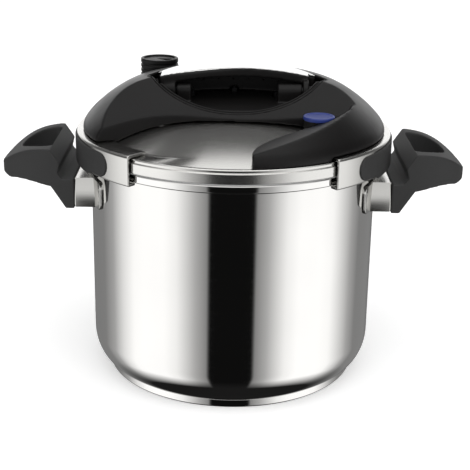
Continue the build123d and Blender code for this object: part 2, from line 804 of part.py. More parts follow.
def jaw_path():
    """Room for the jaws' lips and bars as they slide."""
    room = None
    low = LEDGE_Z - 3
    for side in (1, -1):
        lips = upright(0, 0, BIG / 2, low, COVER_LOW) - upright(0, 0, LIP_IN - COVER_GAP, 0, BIG)
        lips = sector(lips, JAW_SPAN + 1.0, side)
        half = ARM_WIDE / 2 + COVER_GAP
        high = JAW_TOP + ARM_T + COVER_GAP
        bar = block(LIP_IN - JAW_STROKE, BIG / 2, HINGE_Y - half, HINGE_Y + half, low, high)
        bar = on_side(bar, side)
        room = lips + bar if room is None else room + lips + bar
    return room


def hinge_room():
    """Room round the knuckles, pins and cam drums."""
    radius = KNUCKLE_R + 0.5
    out = KNUCKLE_OUT + PLATE_T + 1.5
    room = across(-out, -KNUCKLE_LEFT + 0.5, HINGE_Y, HINGE_Z, radius)
    room += across(KNUCKLE_RIGHT - 0.5, out, HINGE_Y, HINGE_Z, radius)
    for side in (1, -1):
        drum = across(DRUM_IN - 0.5, KNUCKLE_RIGHT, HINGE_Y, HINGE_Z, DRUM_R + SHROUD_GAP)
        room += on_side(drum, side)
    return room


def cover():
    body = cover_form(0) - cover_form(COVER_WALL) - below_dome(0.2) - jaw_path()
    body -= extrude(eye_face(0), BIG)
    body -= hinge_room()
    body -= upright(VALVE_X, VALVE_Y, VALVE_R + 0.5, LEDGE_Z, BIG)
    body -= upright(BUTTON_X, BUTTON_Y, BUTTON_R, LEDGE_Z, BIG)
    return body.solids().sort_by(SortBy.VOLUME)[-1]


def finger_well():
    """Tray that fills the eye-shaped opening, with a floor for the fingers under the arch."""
    outer = extrude(eye_face(WELL_GAP), BIG) & slope_solid(0.6) & cover_dome(0.6)
    outer -= block(-BIG, BIG, -BIG, BIG, 0, WELL_FLOOR - WELL_WALL)
    hollow = extrude(eye_face(WELL_GAP + WELL_WALL + 1.0), BIG)
    hollow -= block(-BIG, BIG, -BIG, BIG, 0, WELL_FLOOR)
    tray = outer - hollow - arch_room()
    tray += drum_shroud(KNUCKLE_RIGHT - 0.5, 1)
    tray += drum_shroud(KNUCKLE_LEFT - 0.5, -1)
    tray -= hinge_room() + below_dome(0.2)
    for side in (1, -1):
        tray -= on_side(bar_room(), side)
    for x, y in stud_places():
        tray -= upright(x, y, 2.7, 0, WELL_FLOOR + 1)
    return tray.solids().sort_by(SortBy.VOLUME)[-1]


def drum_shroud(end, side):
    """Housing that hides a cam drum, closed towards the middle of the well."""
    radius = DRUM_R + SHROUD_GAP + SHROUD_WALL
    start = DRUM_IN - 0.5 - SHROUD_WALL
    shroud = across(start, end, HINGE_Y, HINGE_Z, radius)
    shroud += block(start, end, HINGE_Y - radius, HINGE_Y + radius, WELL_FLOOR - 0.5, HINGE_Z)
    return on_side(shroud, side)


def arch_room():
    """Room for the folded arch handle and for the sweep of its ends."""
    gap = 0.5
    over = extrude(eye_face(-1.0), BIG) & block(-BIG, BIG, ARCH_FRONT - gap, BIG, HINGE_Z - gap, BIG)
    inner = KNUCKLE_RIGHT - gap
    under = crown_solid(ARCH_T + gap) & block(-inner, inner, -BIG, BIG, 0, BIG)
    sweep = KNUCKLE_R + SWEEP_ROOM
    ends = across(-KNUCKLE_OUT - 1, -inner, HINGE_Y, HINGE_Z, sweep)
    ends += across(inner, KNUCKLE_OUT + 1, HINGE_Y, HINGE_Z, sweep)
    return over - under + ends


def bar_room():
    """Room under the tray for a jaw's bar, its follower and a hinge plate, on the right-hand side."""
    half = ARM_WIDE / 2 + 1.0
    high = ARM_HIGH + 0.3
    room = block(ARM_IN - 1.5, BIG, HINGE_Y - half, HINGE_Y + half, 0, high)
    slot = FOLLOWER_R + 0.4
    slot_end = FOLLOWER_START + JAW_STROKE + slot
    room += block(FOLLOWER_START - slot, slot_end, HINGE_Y - slot, HINGE_Y + slot, 0, HINGE_Z)
    foot = half + 4.0
    out = KNUCKLE_OUT + PLATE_T + 1.0
    room += block(KNUCKLE_OUT, out, HINGE_Y - foot, HINGE_Y + foot, 0, ARM_HIGH + 4.0)
    return room


def stud_places():
    return [(-36.0, 24.0), (36.0, 24.0), (0.0, 44.0)]


def cover_studs():
    group = None
    for x, y in stud_places():
        stud = upright(x, y, 2.5, LEDGE_Z, WELL_FLOOR + 4.5) - below_dome(0)
        group = stud if group is None else group + stud
    return group


def cover_nuts():
    group = None
    for x, y in stud_places():
        nut = hexagon_nut(x, y, 7.0, 2.52, WELL_FLOOR, WELL_FLOOR + 3.2)
        group = nut if group is None else group + nut
    return group


# ---------------------------------------------------------------------------
# Operating valve
# ---------------------------------------------------------------------------

def valve_nozzle():
    low = LEDGE_Z - 14
    tube = upright(VALVE_X, VALVE_Y, NOZZLE_R, low, VALVE_TOP - 8)
    collar = upright(VALVE_X, VALVE_Y, NOZZLE_R + 4, LEDGE_Z, LEDGE_Z + 14) - below_dome(0)
    body = tube + collar
    body -= upright(VALVE_X, VALVE_Y, NOZZLE_BORE, 0, BIG)
    return body


def nozzle_seal():
    low = LEDGE_Z - 4
    ring = upright(VALVE_X, VALVE_Y, NOZZLE_R + 4, low, LEDGE_Z + 12)
    ring -= upright(VALVE_X, VALVE_Y, NOZZLE_R + 0.05, 0, BIG)
    return ring & below_dome(-LID_WALL - 0.05)


def nozzle_nut():
    high = LEDGE_Z - 4
    return hexagon_nut(VALVE_X, VALVE_Y, 14.0, NOZZLE_R + 0.02, high - 5, high)


def valve_cap():
    low = VALVE_TOP - VALVE_TALL
    cap = upright(VALVE_X, VALVE_Y, VALVE_R, low, VALVE_TOP)
    cap -= upright(VALVE_X, VALVE_Y, VALVE_R - 2.5, low - 1, VALVE_TOP - 3.5)
    hub = upright(VALVE_X, VALVE_Y, NOZZLE_R + 3.5, low + 3, VALVE_TOP - 3)
    cap += hub
    cap -= upright(VALVE_X, VALVE_Y, NOZZLE_R + 2.0, low, VALVE_TOP - 5)
    cap -= upright(VALVE_X + 9.0, VALVE_Y - 3.0, 3.4, VALVE_TOP - 1.6, VALVE_TOP + 1)
    return cap


def valve_seat():
    """Steel bush pressed into the cap, which turns on the nozzle."""
    low = VALVE_TOP - VALVE_TALL + 1
    high = VALVE_TOP - 5.02
    bush = upright(VALVE_X, VALVE_Y, NOZZLE_R + 1.98, low, high)
    bush -= upright(VALVE_X, VALVE_Y, NOZZLE_R + PIN_CLEAR, low - 1, VALVE_TOP - 7.5)
    return bush


# ---------------------------------------------------------------------------
# Push button
# ---------------------------------------------------------------------------

def guide_radius():
    return STEM_R + 2.0


def button_low():
    return BUTTON_TOP - BUTTON_CAP_T - BUTTON_BODY_T


def button_cap():
    cap = upright(BUTTON_X, BUTTON_Y, BUTTON_R, BUTTON_TOP - BUTTON_CAP_T, BUTTON_TOP)
    return fillet(cap.edges().sort_by(Axis.Z)[-1], 0.8)


def button_body():
    low = button_low()
    body = upright(BUTTON_X, BUTTON_Y, BUTTON_R - 0.6, low, BUTTON_TOP - BUTTON_CAP_T)
    return body + upright(BUTTON_X, BUTTON_Y, STEM_R, LEDGE_Z - 10, low)


def button_guide():
    high = button_low() - BUTTON_STROKE - 0.4
    bush = upright(BUTTON_X, BUTTON_Y, guide_radius(), LEDGE_Z - 5, high)
    collar = upright(BUTTON_X, BUTTON_Y, guide_radius() + 3, LEDGE_Z, high) - below_dome(0)
    return bush + collar - upright(BUTTON_X, BUTTON_Y, STEM_R + PIN_CLEAR, 0, BIG)


def button_spring():
    low = button_low() - BUTTON_STROKE - 0.4
    spring = upright(BUTTON_X, BUTTON_Y, STEM_R + 1.6, low, button_low())
    return spring - upright(BUTTON_X, BUTTON_Y, STEM_R + 0.5, 0, BIG)


def guide_nut():
    high = LEDGE_Z - 0.5
    return hexagon_nut(BUTTON_X, BUTTON_Y, 15.0, guide_radius() + 0.02, high - 4, high)


# ---------------------------------------------------------------------------
# Safety valve
# ---------------------------------------------------------------------------

def safety_valve():
    body = upright(SAFETY_X, SAFETY_Y, SAFETY_STEM, LEDGE_Z - 8, LEDGE_Z + 16)
    head = upright(SAFETY_X, SAFETY_Y, SAFETY_R, LEDGE_Z, LEDGE_Z + 18) - below_dome(0)
    vent = upright(SAFETY_X, SAFETY_Y, 1.5, 0, LEDGE_Z + 15)
    return body + head - vent


def safety_nut():
    high = LEDGE_Z - 1.0
    return hexagon_nut(SAFETY_X, SAFETY_Y, 11.0, SAFETY_STEM + 0.02, high - 4, high)


# ---------------------------------------------------------------------------
# Write every sub-part
# ---------------------------------------------------------------------------

SINGLE = [
    pot_body,
    base_core,
    base_cap,
    lid_shell,
    gasket,
    cover,
    finger_well,
    cover_studs,
    cover_nuts,
    arch_handle,
    arch_trim,
    valve_nozzle,
    nozzle_seal,
    nozzle_nut,
    valve_cap,
    valve_seat,
    button_cap,
    button_body,
    button_guide,
    button_spring,
    guide_nut,
    safety_valve,
    safety_nut,
]

PAIRED = [
    flange_plate,
    bracket,
    bracket_boss,
    side_handle,
    handle_screw,
    jaw,
    jaw_insert,
    jaw_arm,
    jaw_rivets,
    follower,
    cam_drum,
    hinge_pin,
    hinge_plate,
]

for make in SINGLE:
    save(make.__name__, make())

for make in PAIRED:
    save(make.__name__ + "_right", make(1))
    save(make.__name__ + "_left", make(-1))
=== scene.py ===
from math import asin, atan2, cos, pi, radians, sin, sqrt, tan

import bmesh
import bpy
from bpy.props import FloatProperty, FloatVectorProperty, PointerProperty
from mathutils import Matrix, Vector
from mathutils.bvhtree import BVHTree


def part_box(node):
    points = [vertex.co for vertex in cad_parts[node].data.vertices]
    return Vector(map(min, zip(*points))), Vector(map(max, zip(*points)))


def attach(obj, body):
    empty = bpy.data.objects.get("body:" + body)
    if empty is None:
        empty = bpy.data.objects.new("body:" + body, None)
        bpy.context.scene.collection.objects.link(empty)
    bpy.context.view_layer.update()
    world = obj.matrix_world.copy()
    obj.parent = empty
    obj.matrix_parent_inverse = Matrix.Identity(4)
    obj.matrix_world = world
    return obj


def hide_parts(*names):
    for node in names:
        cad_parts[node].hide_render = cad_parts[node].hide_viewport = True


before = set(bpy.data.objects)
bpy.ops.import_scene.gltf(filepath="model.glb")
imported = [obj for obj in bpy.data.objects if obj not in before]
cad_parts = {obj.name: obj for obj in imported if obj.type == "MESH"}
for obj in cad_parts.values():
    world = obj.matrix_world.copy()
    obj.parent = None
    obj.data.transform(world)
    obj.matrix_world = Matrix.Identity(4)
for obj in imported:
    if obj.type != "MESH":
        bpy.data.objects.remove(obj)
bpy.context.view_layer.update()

bl_info = {
    "name": "Pressure canner dresser",
    "version": (1, 0, 0),
    "blender": (4, 5, 0),
    "location": "View3D > Sidebar > Canner",
    "description": "Models the visible pieces of a pressure canner round its fixed frame",
    "category": "Object",
}

MM = 0.001
FULL_TURN = 2 * pi
# Rounding of a steel sheet's cut edges, and of the edges of a small moulded piece.
SHEET_EDGE = 0.5 * MM
MOULD_EDGE = 0.4 * MM
# Distance between the cuts across a piece that is bent round the pot.
BEND_STEP = 3 * MM
# Beads beside the front edge of the eye-shaped opening: how far inside that edge in mm, and how far
# round to each side in degrees.
COVER_BEAD = (-1.2, 66.0)
WELL_BEADS = ((1.6, 60.0), (8.0, 40.0))


def linear(hex_colour):
    """An sRGB hex colour as linear red, green and blue."""
    shares = [int(hex_colour[i:i + 2], 16) / 255 for i in (1, 3, 5)]
    return tuple(s / 12.92 if s <= 0.04045 else ((s + 0.055) / 1.055) ** 2.4 for s in shares)


def length(name, description, millimetres):
    size = millimetres * MM
    return FloatProperty(name=name, description=description, default=size, min=0.0, unit="LENGTH")


def share(name, description, part):
    return FloatProperty(name=name, description=description, default=part, min=0.0, max=1.0, subtype="FACTOR")


def angle(name, description, degrees):
    return FloatProperty(name=name, description=description, default=radians(degrees), unit="ROTATION")


def colour(name, description, hex_colour):
    tint = linear(hex_colour)
    return FloatVectorProperty(name=name, description=description, default=tint, subtype="COLOR")


# ---------------------------------------------------------------------------
# Sizes and colours that a user would change
# ---------------------------------------------------------------------------

class CannerPot(bpy.types.PropertyGroup):
    wall: length("Wall", "Sheet thickness of the pot", 1.2)
    rim_overhang: length("Rim overhang", "How far the rolled rim stands out of the wall", 5.8)
    rim_tall: length("Rim height", "Height of the rolled rim", 7.2)
    rim_round: length("Rim rounding", "Rounding of the rolled rim's edges", 1.5)
    corner_wide: length("Corner width", "Rounding of the lower corner, across", 20.0)
    corner_tall: length("Corner height", "Rounding of the lower corner, up the wall", 28.0)
    cap_round: length("Base rounding", "Rounding of the base cap's lower edge", 1.6)
    cap_tall: length("Base height", "Height of the base cap's upright edge", 6.9)
    cap_sheet: length("Base sheet", "Sheet thickness of the base cap", 0.8)
    cap_ring: length("Base ring", "Depth of the rings pressed in the base", 0.25)
    ring_slope: length("Ring slope", "Width of each sloping side of a pressed ring", 1.0)
    ring_flat: length("Ring flat", "Width of the flat in the middle of a pressed ring", 2.0)


class CannerHandles(bpy.types.PropertyGroup):
    grip_voxel: length("Grip detail", "Size of the smallest feature of the moulded grips", 0.8)
    grip_swell: length("Grip swell", "How far a grip's back swells up half way along", 2.6)
    grip_fall: length("Grip fall", "How far a grip's tip falls", 8.0)
    grip_root: length("Grip root", "Length of a grip's straight root, before it swells", 22.0)
    bracket_round: length("Bracket rounding", "Rounding of a bracket's folded edges", 1.4)
    bracket_lean: length("Bracket lean", "How far the top of a bracket's side leans in", 3.4)
    bracket_fit: length("Bracket fit", "How far a bracket's end sinks into its welded plate", 0.3)
    plate_round: length("Plate rounding", "Rounding of a welded plate's corners", 6.0)
    plate_edge: length("Plate edge", "Rounding of a welded plate's rim", 0.5)
    weld_dot: length("Weld dot", "Radius of a spot weld's dimple", 1.5)
    weld_sunk: length("Weld depth", "How far the middle of a weld's dot lies in its plate", 0.25)
    weld_inset: length("Weld inset", "Height of a weld above or below its plate's edge", 6.0)
    weld_turn: angle("Weld turn", "Angle of a weld from the middle of its plate", 26.6425)


class CannerLid(bpy.types.PropertyGroup):
    wall: length("Wall", "Sheet thickness of the lid", 1.2)
    skirt_tall: length("Skirt height", "Height of the lid's skirt", 8.2)
    skirt_step: length("Skirt step", "How far the skirt's upper part stands in", 1.2)
    ledge_wide: length("Ledge width", "Width of the flat ledge round the dome", 16.0)
    gasket_room: length("Gasket room", "Gap between the gasket and the ledge over it", 0.2)
    dome_foot: share("Dome slope", "Slope of the dome where it leaves the ledge", 0.42)
    swell_span: angle("Swell span", "Half the angle in front where the dome runs out to the lid's edge", 12.0)
    swell_fade: angle("Swell fade", "Half the angle where the flat ledge takes over again", 37.0)
    brow: length("Brow", "Radius where the raised front meets the dome, under the cover", 52.0)
    jaw_round: length("Jaw rounding", "Rounding of a jaw's rolled edges", 1.9)
    jaw_end_round: length("Jaw end rounding", "Rounding of a jaw's two ends", 0.9)
    jaw_wall: length("Jaw wall", "Sheet thickness of a jaw", 2.0)
    jaw_hook: length("Jaw hook", "Width of the lip that hooks under the rim", 8.2)
    jaw_lip: length("Jaw lip", "Width of the lip over the lid's ledge", 20.2)
    jaw_span: angle("Jaw span", "Half the angle that a jaw covers", 52.4)
    insert_span: angle("Insert span", "Half the angle that a plastic insert covers", 41.5)
    insert_drop_span: angle("Insert drop span", "Half the angle of the insert's lower part", 31.0)
    insert_drop: length("Insert drop", "How far the insert's lower part hangs below its band", 2.5)
    insert_sunk: length("Insert depth", "How far an insert's back lies in its jaw", 0.9)
    insert_edge: length("Insert edge", "Rounding of an insert's rim", 0.8)


class CannerCover(bpy.types.PropertyGroup):
    voxel: length("Cover detail", "Size of the smallest feature of the cover's moulding", 1.1)
    well_voxel: length("Well detail", "Size of the smallest feature of the finger well", 0.8)
    arch_voxel: length("Arch detail", "Size of the smallest feature of the folding handle", 0.8)
    trim_voxel: length("Trim detail", "Size of the smallest feature of the handle's bright trim", 0.56)
    dot: length("Grip dot", "Radius of a grip dot in the finger well", 0.9)
    dot_pitch: length("Dot pitch", "Distance between grip dots in a row", 13.0)
    dot_first: length("First dot", "How far left of the middle a row of grip dots starts", 27.0)
    dot_shift: length("Dot shift", "How far right of the upper row the lower row stands", 9.0)
    dot_row: length("Dot row", "How far behind the lid's middle the lower row lies", 39.0)
    dot_rise: length("Dot rise", "Height of the upper row over the bottom of the well", 11.5)
    eye_corner: length("Eye corner", "How far behind the middle the opening's corners lie", 8.0)
    bead: length("Rim bead", "Radius of the bead round the eye-shaped opening", 0.8)
    channel_wide: length("Channel width", "Half the width of the channel over the left shoulder", 2.6)
    channel_deep: length("Channel depth", "Depth of that channel", 2.2)
    notch: length("Valve notch", "Radius of the round end of the notch in the valve's top", 4.4)
    notch_out: length("Notch place", "How far right of the valve's middle the notch's round end lies", 7.6)
    notch_back: length("Notch slant", "How far the notch's ends lie in front of and behind the middle", 2.0)
    notch_tip: length("Notch tip", "How far left of the valve's middle the notch's tip lies", 3.0)
    notch_deep: length("Notch depth", "Depth of the notch below the dish", 1.6)
    valve_ring: length("Valve ring", "Depth of the grooves round the valve", 0.7)
    valve_dish: length("Valve dish", "Depth of the dish in the valve's top", 1.3)
    valve_rib: length("Valve rib", "Distance from groove to groove round the valve", 4.0)
    valve_wall: length("Valve wall", "Wall thickness of the valve cap", 2.5)
    valve_top: length("Valve top", "Thickness of the valve cap's top, from its brim down", 4.0)
    button_rim: length("Button rim", "Height of the raised rim on the push button", 0.5)
    button_head: length("Button body", "Height of the black body under the blue cap", 6.8)
    button_stem: length("Button stem", "Radius of the stem below that body", 3.0)


class CannerFinish(bpy.types.PropertyGroup):
    mirror_steel: colour("Mirror steel", "Colour of the polished stainless steel", "#d9d8d6")
    satin_steel: colour("Satin steel", "Colour of the brushed stainless steel", "#c6c5c2")
    lid_steel: colour("Lid steel", "Colour of the lid's satin stainless steel", "#cfcecb")
    trim_steel: colour("Trim steel", "Colour of the handle's bright trim", "#cfcfce")
    aluminium: colour("Aluminium", "Colour of the base's aluminium core", "#b9bbbd")
    oxide: colour("Black oxide", "Colour of the blackened fasteners", "#2a2a2b")
    phenolic: colour("Phenolic", "Colour of the side handles' phenolic resin", "#0a0909")
    nylon: colour("Nylon", "Colour of the cover's glass-filled nylon", "#100f0f")
    blue: colour("Button blue", "Colour of the push button's ABS", "#2b3a7c")
    silicone: colour("Silicone", "Colour of the gasket's silicone rubber", "#8f908e")
    grain: length("Plastic grain", "Pitch of the moulded plastic's grain", 0.9)
    brushing: length("Brushing", "Spacing of the brushed steel's lines", 0.35)


class CannerStage(bpy.types.PropertyGroup):
    floor: colour("Floor", "Colour of the studio floor", "#f4f4f4")
    floor_glow: share("Floor glow", "Light that comes through the floor, as from a lit table", 0.34)
    distance: length("Camera distance", "From the camera to the middle of the canner", 979.3)
    aim: length("Aim height", "Height of the point that the camera looks at", 111.4)
    elevation: angle("Camera elevation", "How far above the horizon the camera stands", 19.38)
    roll: angle("Camera roll", "Turn of the camera about its own axis", 0.915)
    lens: FloatProperty(name="Lens", description="Focal length in millimetres", default=86.06, min=1.0)
    shift: FloatProperty(name="Shift", description="Sideways shift of the frame", default=0.006)
    brightness: FloatProperty(name="Brightness", description="Strength of the studio's white", default=1.5)
    key: FloatProperty(name="Key light", description="Power of the soft light overhead, in watts", default=8.0)


# ---------------------------------------------------------------------------
# Mesh helpers
# ---------------------------------------------------------------------------

def as_object(bm, name):
    """A bmesh as an object in the scene."""
    mesh = bpy.data.meshes.new(name)
    bm.to_mesh(mesh)
    bm.free()
    holder = bpy.data.objects.new(name, mesh)
    bpy.context.scene.collection.objects.link(holder)
    return holder


def finish_piece(name, bm, body, slot, replaced, crease=50.0, look=None):
    """Turn a bmesh into a finished piece, with its place in its mesh and its slot's usual finish."""
    bmesh.ops.remove_doubles(bm, verts=bm.verts, dist=1e-7)
    bmesh.ops.dissolve_degenerate(bm, edges=bm.edges, dist=1e-7)
    bmesh.ops.recalc_face_normals(bm, faces=bm.faces)
    piece = as_object(bm, name)
    piece.data.shade_smooth()
    piece.data.set_sharp_from_angle(angle=radians(crease))
    piece.data.materials.append(finish(look or SLOT_FINISH[slot]))
    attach(piece, body)
    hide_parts(replaced)


def rounded(points, closed=True, steps=5):
    """An outline with arcs at its corners. A point is (across, up) or (across, up, rounding).

    A guard point on each side of an arc keeps the straight runs flat in a reflection.
    """
    guard = 0.25 * MM
    outline = []
    count = len(points)
    for i, point in enumerate(points):
        here = Vector(point[:2])
        radius = point[2] if len(point) > 2 else 0.0
        if radius == 0.0 or (not closed and i in (0, count - 1)):
            outline.append(here)
            continue
        before = Vector(points[i - 1][:2]) - here
        after = Vector(points[(i + 1) % count][:2]) - here
        half = before.angle(after) / 2
        reach = min(radius / tan(half), 0.48 * before.length, 0.48 * after.length)
        middle = here + (before.normalized() + after.normalized()).normalized() * (reach / cos(half))
        start = here + before.normalized() * reach - middle
        end = here + after.normalized() * reach - middle
        sweep = start.angle_signed(end)
        outline.append(middle + start + before.normalized() * min(guard, 0.02 * before.length))
        for step in range(steps + 1):
            outline.append(middle + Matrix.Rotation(-sweep * step / steps, 2) @ start)
        outline.append(middle + end + after.normalized() * min(guard, 0.02 * after.length))
    return outline


def arc(centre, wide, tall, start, end, steps):
    """Points along an elliptical arc, from one angle to another, in degrees."""
    points = []
    for step in range(steps + 1):
        turn = radians(start + (end - start) * step / steps)
        points.append((centre[0] + wide * cos(turn), centre[1] + tall * sin(turn)))
    return points


def spun(outline, steps=192, span=FULL_TURN, start=0.0, centre=(0.0, 0.0), closed=True):
    """A bmesh of a (radius, height) outline turned about an upright axis."""
    bm = bmesh.new()
    turn = Matrix.Rotation(start, 3, "Z")
    middle = Vector((centre[0], centre[1], 0.0))
    verts = [bm.verts.new(middle + turn @ Vector((r, 0.0, z))) for r, z in outline]
    pairs = list(zip(verts, verts[1:]))
    if closed:
        pairs.append((verts[-1], verts[0]))
    edges = [bm.edges.new(pair) for pair in pairs]
    whole = span > FULL_TURN - 1e-6
    bmesh.ops.spin(
        bm, geom=verts + edges, cent=middle, axis=(0, 0, 1), angle=span, steps=steps,
        use_merge=whole, use_duplicate=False,
    )
    if not whole:
        bmesh.ops.holes_fill(bm, edges=[e for e in bm.edges if e.is_boundary], sides=0)
    return bm


def bevelled(bm, edges, width, segments=4):
    bmesh.ops.bevel(
        bm, geom=edges, offset=width, offset_type="OFFSET", affect="EDGES",
        segments=segments, profile=0.5, material=-1, clamp_overlap=True,
    )


def slab(low, high):
    """A box between two corners, ready to be rounded."""
    bm = bmesh.new()
    bmesh.ops.create_cube(bm, size=1.0)
    size = Vector(high) - Vector(low)
    bmesh.ops.scale(bm, vec=size, verts=bm.verts)
    bmesh.ops.translate(bm, vec=(Vector(low) + Vector(high)) / 2, verts=bm.verts)
    return bm


def edges_along(bm, axis):
    """The edges that run along one axis."""
    others = [i for i in range(3) if i != axis]
    return [
        e for e in bm.edges
        if all(abs(e.verts[0].co[i] - e.verts[1].co[i]) < 1e-6 for i in others)
    ]


def outer_rim(bm, out):
    """The edges round a flat piece's outer face."""
    return [e for e in bm.edges if all(v.co.x > out - 1e-6 for v in e.verts)]


def sliced(bm, axis, step):
    """Cut a mesh across one axis at even steps, so that it can bend."""
    low = min(v.co[axis] for v in bm.verts)
    high = max(v.co[axis] for v in bm.verts)
    normal = Vector([1.0 if i == axis else 0.0 for i in range(3)])
    place = low + step
    while place < high - step / 2:
        geom = list(bm.verts) + list(bm.edges) + list(bm.faces)
        bmesh.ops.bisect_plane(bm, geom=geom, dist=1e-7, plane_co=normal * place, plane_no=normal)
        place += step


def wrapped(bm, radius):
    """Bend a flat piece round the upright axis: its X is a radius, its Y a length of arc."""
    for vert in bm.verts:
        turn = vert.co.y / radius
        reach = vert.co.x
        vert.co.x = reach * cos(turn)
        vert.co.y = reach * sin(turn)


def mirrored(bm, side):
    """The piece as it is for the right-hand side, or turned over for the left."""
    if side < 0:
        bmesh.ops.scale(bm, vec=(-1.0, 1.0, 1.0), verts=bm.verts)
        bmesh.ops.reverse_faces(bm, faces=bm.faces)
    return bm


def joined(target, other):
    """Add one bmesh's mesh to another."""
    holder = bpy.data.meshes.new("holder")
    other.to_mesh(holder)
    other.free()
    target.from_mesh(holder)
    bpy.data.meshes.remove(holder)


def moulded(node, voxel, rounds):
    """A finely meshed copy of a CAD node, with its edges softened as a mould leaves them."""
    bm = bmesh.new()
    bm.from_mesh(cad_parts[node].data)
    bmesh.ops.remove_doubles(bm, verts=bm.verts, dist=1e-6)
    holder = as_object(bm, "moulding")
    remesh = holder.modifiers.new("Skin", "REMESH")
    remesh.mode = "VOXEL"
    remesh.voxel_size = voxel
    smooth = holder.modifiers.new("Soften", "SMOOTH")
    smooth.factor = 0.5
    smooth.iterations = rounds
    return taken_up(holder)


def taken_up(holder):
    """An object's shape with its modifiers, as a bmesh. The object goes."""
    bpy.context.view_layer.update()
    shape = holder.evaluated_get(bpy.context.evaluated_depsgraph_get())
    finished = bpy.data.meshes.new_from_object(shape)
    result = bmesh.new()
    result.from_mesh(finished)
    data = holder.data
    bpy.data.objects.remove(holder)
    if isinstance(data, bpy.types.Mesh):
        bpy.data.meshes.remove(data)
    else:
        bpy.data.curves.remove(data)
    bpy.data.meshes.remove(finished)
    return result


def carved(bm, cutter):
    """Cut one closed shape out of another."""
    bmesh.ops.remove_doubles(bm, verts=bm.verts, dist=1e-7)
    bmesh.ops.recalc_face_normals(bm, faces=bm.faces)
    tool = as_object(cutter, "cutter")
    holder = as_object(bm, "carving")
    cut = holder.modifiers.new("Cut", "BOOLEAN")
    cut.operation = "DIFFERENCE"
    cut.solver = "EXACT"
    cut.object = tool
    result = taken_up(holder)
    data = tool.data
    bpy.data.objects.remove(tool)
    bpy.data.meshes.remove(data)
    return result


def bead(points, radius):
    """A thin round bead along a line."""
    line = bpy.data.curves.new("bead", "CURVE")
    line.dimensions = "3D"
    line.bevel_depth = radius
    line.bevel_resolution = 2
    line.use_fill_caps = True
    spline = line.splines.new("POLY")
    spline.points.add(len(points) - 1)
    for point, place in zip(spline.points, points):
        point.co = (*place, 1.0)
    holder = bpy.data.objects.new("bead", line)
    bpy.context.scene.collection.objects.link(holder)
    return taken_up(holder)


def laid_on(bm, plan):
    """Points of a plan, dropped onto a shape from above."""
    tree = BVHTree.FromBMesh(bm)
    points = []
    for x, y in plan:
        hit = tree.ray_cast(Vector((x, y, 0.5)), Vector((0.0, 0.0, -1.0)))[0]
        if hit is not None:
            points.append(hit)
    return points


def channelled(bm, plan, half_wide, deep):
    """Press a soft channel in a shape's upper skin, along a line in plan."""
    line = [Vector(point) for point in plan]
    for vert in bm.verts:
        if vert.normal.z < 0.15:
            continue
        here = vert.co.xy
        nearest = half_wide
        for start, end in zip(line, line[1:]):
            run = end - start
            along = min(max((here - start).dot(run) / run.length_squared, 0.0), 1.0)
            nearest = min(nearest, (here - start - run * along).length)
        vert.co.z -= deep * (0.5 + 0.5 * cos(pi * nearest / half_wide))


def eased(value):
    """0 to 1, gently at both ends."""
    value = min(max(value, 0.0), 1.0)
    return value * value * (3.0 - 2.0 * value)


def height_on(outline, reach):
    """Height of an outline, drawn inwards from its foot, at a radius."""
    for outer, inner in zip(outline, outline[1:]):
        if inner.x <= reach <= outer.x:
            return outer.y + (inner.y - outer.y) * (outer.x - reach) / (outer.x - inner.x)
    return outline[0].y


def eye_bead(bm, values, inwards, end, steps=72):
    """Lay a bead beside the eye-shaped opening's front edge, which follows one circle.

    The bead lies some millimetres inside the edge and runs out to an angle on each side of its middle.
    """
    low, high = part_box("finger_well")
    half = (high.x - low.x) / 2
    fall = values.eye_corner - low.y
    radius = (half ** 2 + fall ** 2) / (2 * fall)
    reach = radius - inwards * MM
    plan = arc(((low.x + high.x) / 2, low.y + radius), reach, reach, 270 - end, 270 + end, steps)
    joined(bm, bead(laid_on(bm, plan), values.bead))


def sides():
    return (("right", 1), ("left", -1))


# ---------------------------------------------------------------------------
# Materials
# ---------------------------------------------------------------------------

def add(tree, kind, settings=None, inputs=None):
    """Add one node, with its settings and the values or links of its inputs."""
    node = tree.nodes.new(kind)
    for name, value in (settings or {}).items():
        setattr(node, name, value)
    for name, value in (inputs or {}).items():
        if isinstance(value, bpy.types.NodeSocket):
            tree.links.new(value, node.inputs[name])
        else:
            node.inputs[name].default_value = value
    return node


def ramp(tree, factor, stops):
    """A colour ramp through grey levels or colours, each at its place."""
    node = add(tree, "ShaderNodeValToRGB", inputs={"Fac": factor})
    points = node.color_ramp.elements
    while len(points) > 1:
        points.remove(points[-1])
    for i, (place, value) in enumerate(stops):
        point = points[0] if i == 0 else points.new(place)
        point.position = place
        point.color = (value, value, value, 1.0) if isinstance(value, float) else (*value, 1.0)
    return node.outputs["Color"]


def blank_material(name):
    """An empty material, its node tree and its pattern coordinates."""
    material = bpy.data.materials.new(name)
    material.use_nodes = True
    tree = material.node_tree
    tree.nodes.clear()
    place = add(tree, "ShaderNodeTexCoord").outputs["Object"]
    return material, tree, place


def close_material(tree, inputs):
    shader = add(tree, "ShaderNodeBsdfPrincipled", inputs=inputs)
    add(tree, "ShaderNodeOutputMaterial", inputs={"Surface": shader.outputs["BSDF"]})


def stretched_noise(tree, place, scale, detail=4.0):
    """Noise whose scale differs along X, Y and Z, in repeats per metre."""
    stretch = add(tree, "ShaderNodeMapping", inputs={"Vector": place, "Scale": scale})
    noise = add(
        tree, "ShaderNodeTexNoise",
        inputs={"Vector": stretch.outputs["Vector"], "Scale": 1.0, "Detail": detail, "Roughness": 0.6},
    )
    return noise.outputs["Fac"]


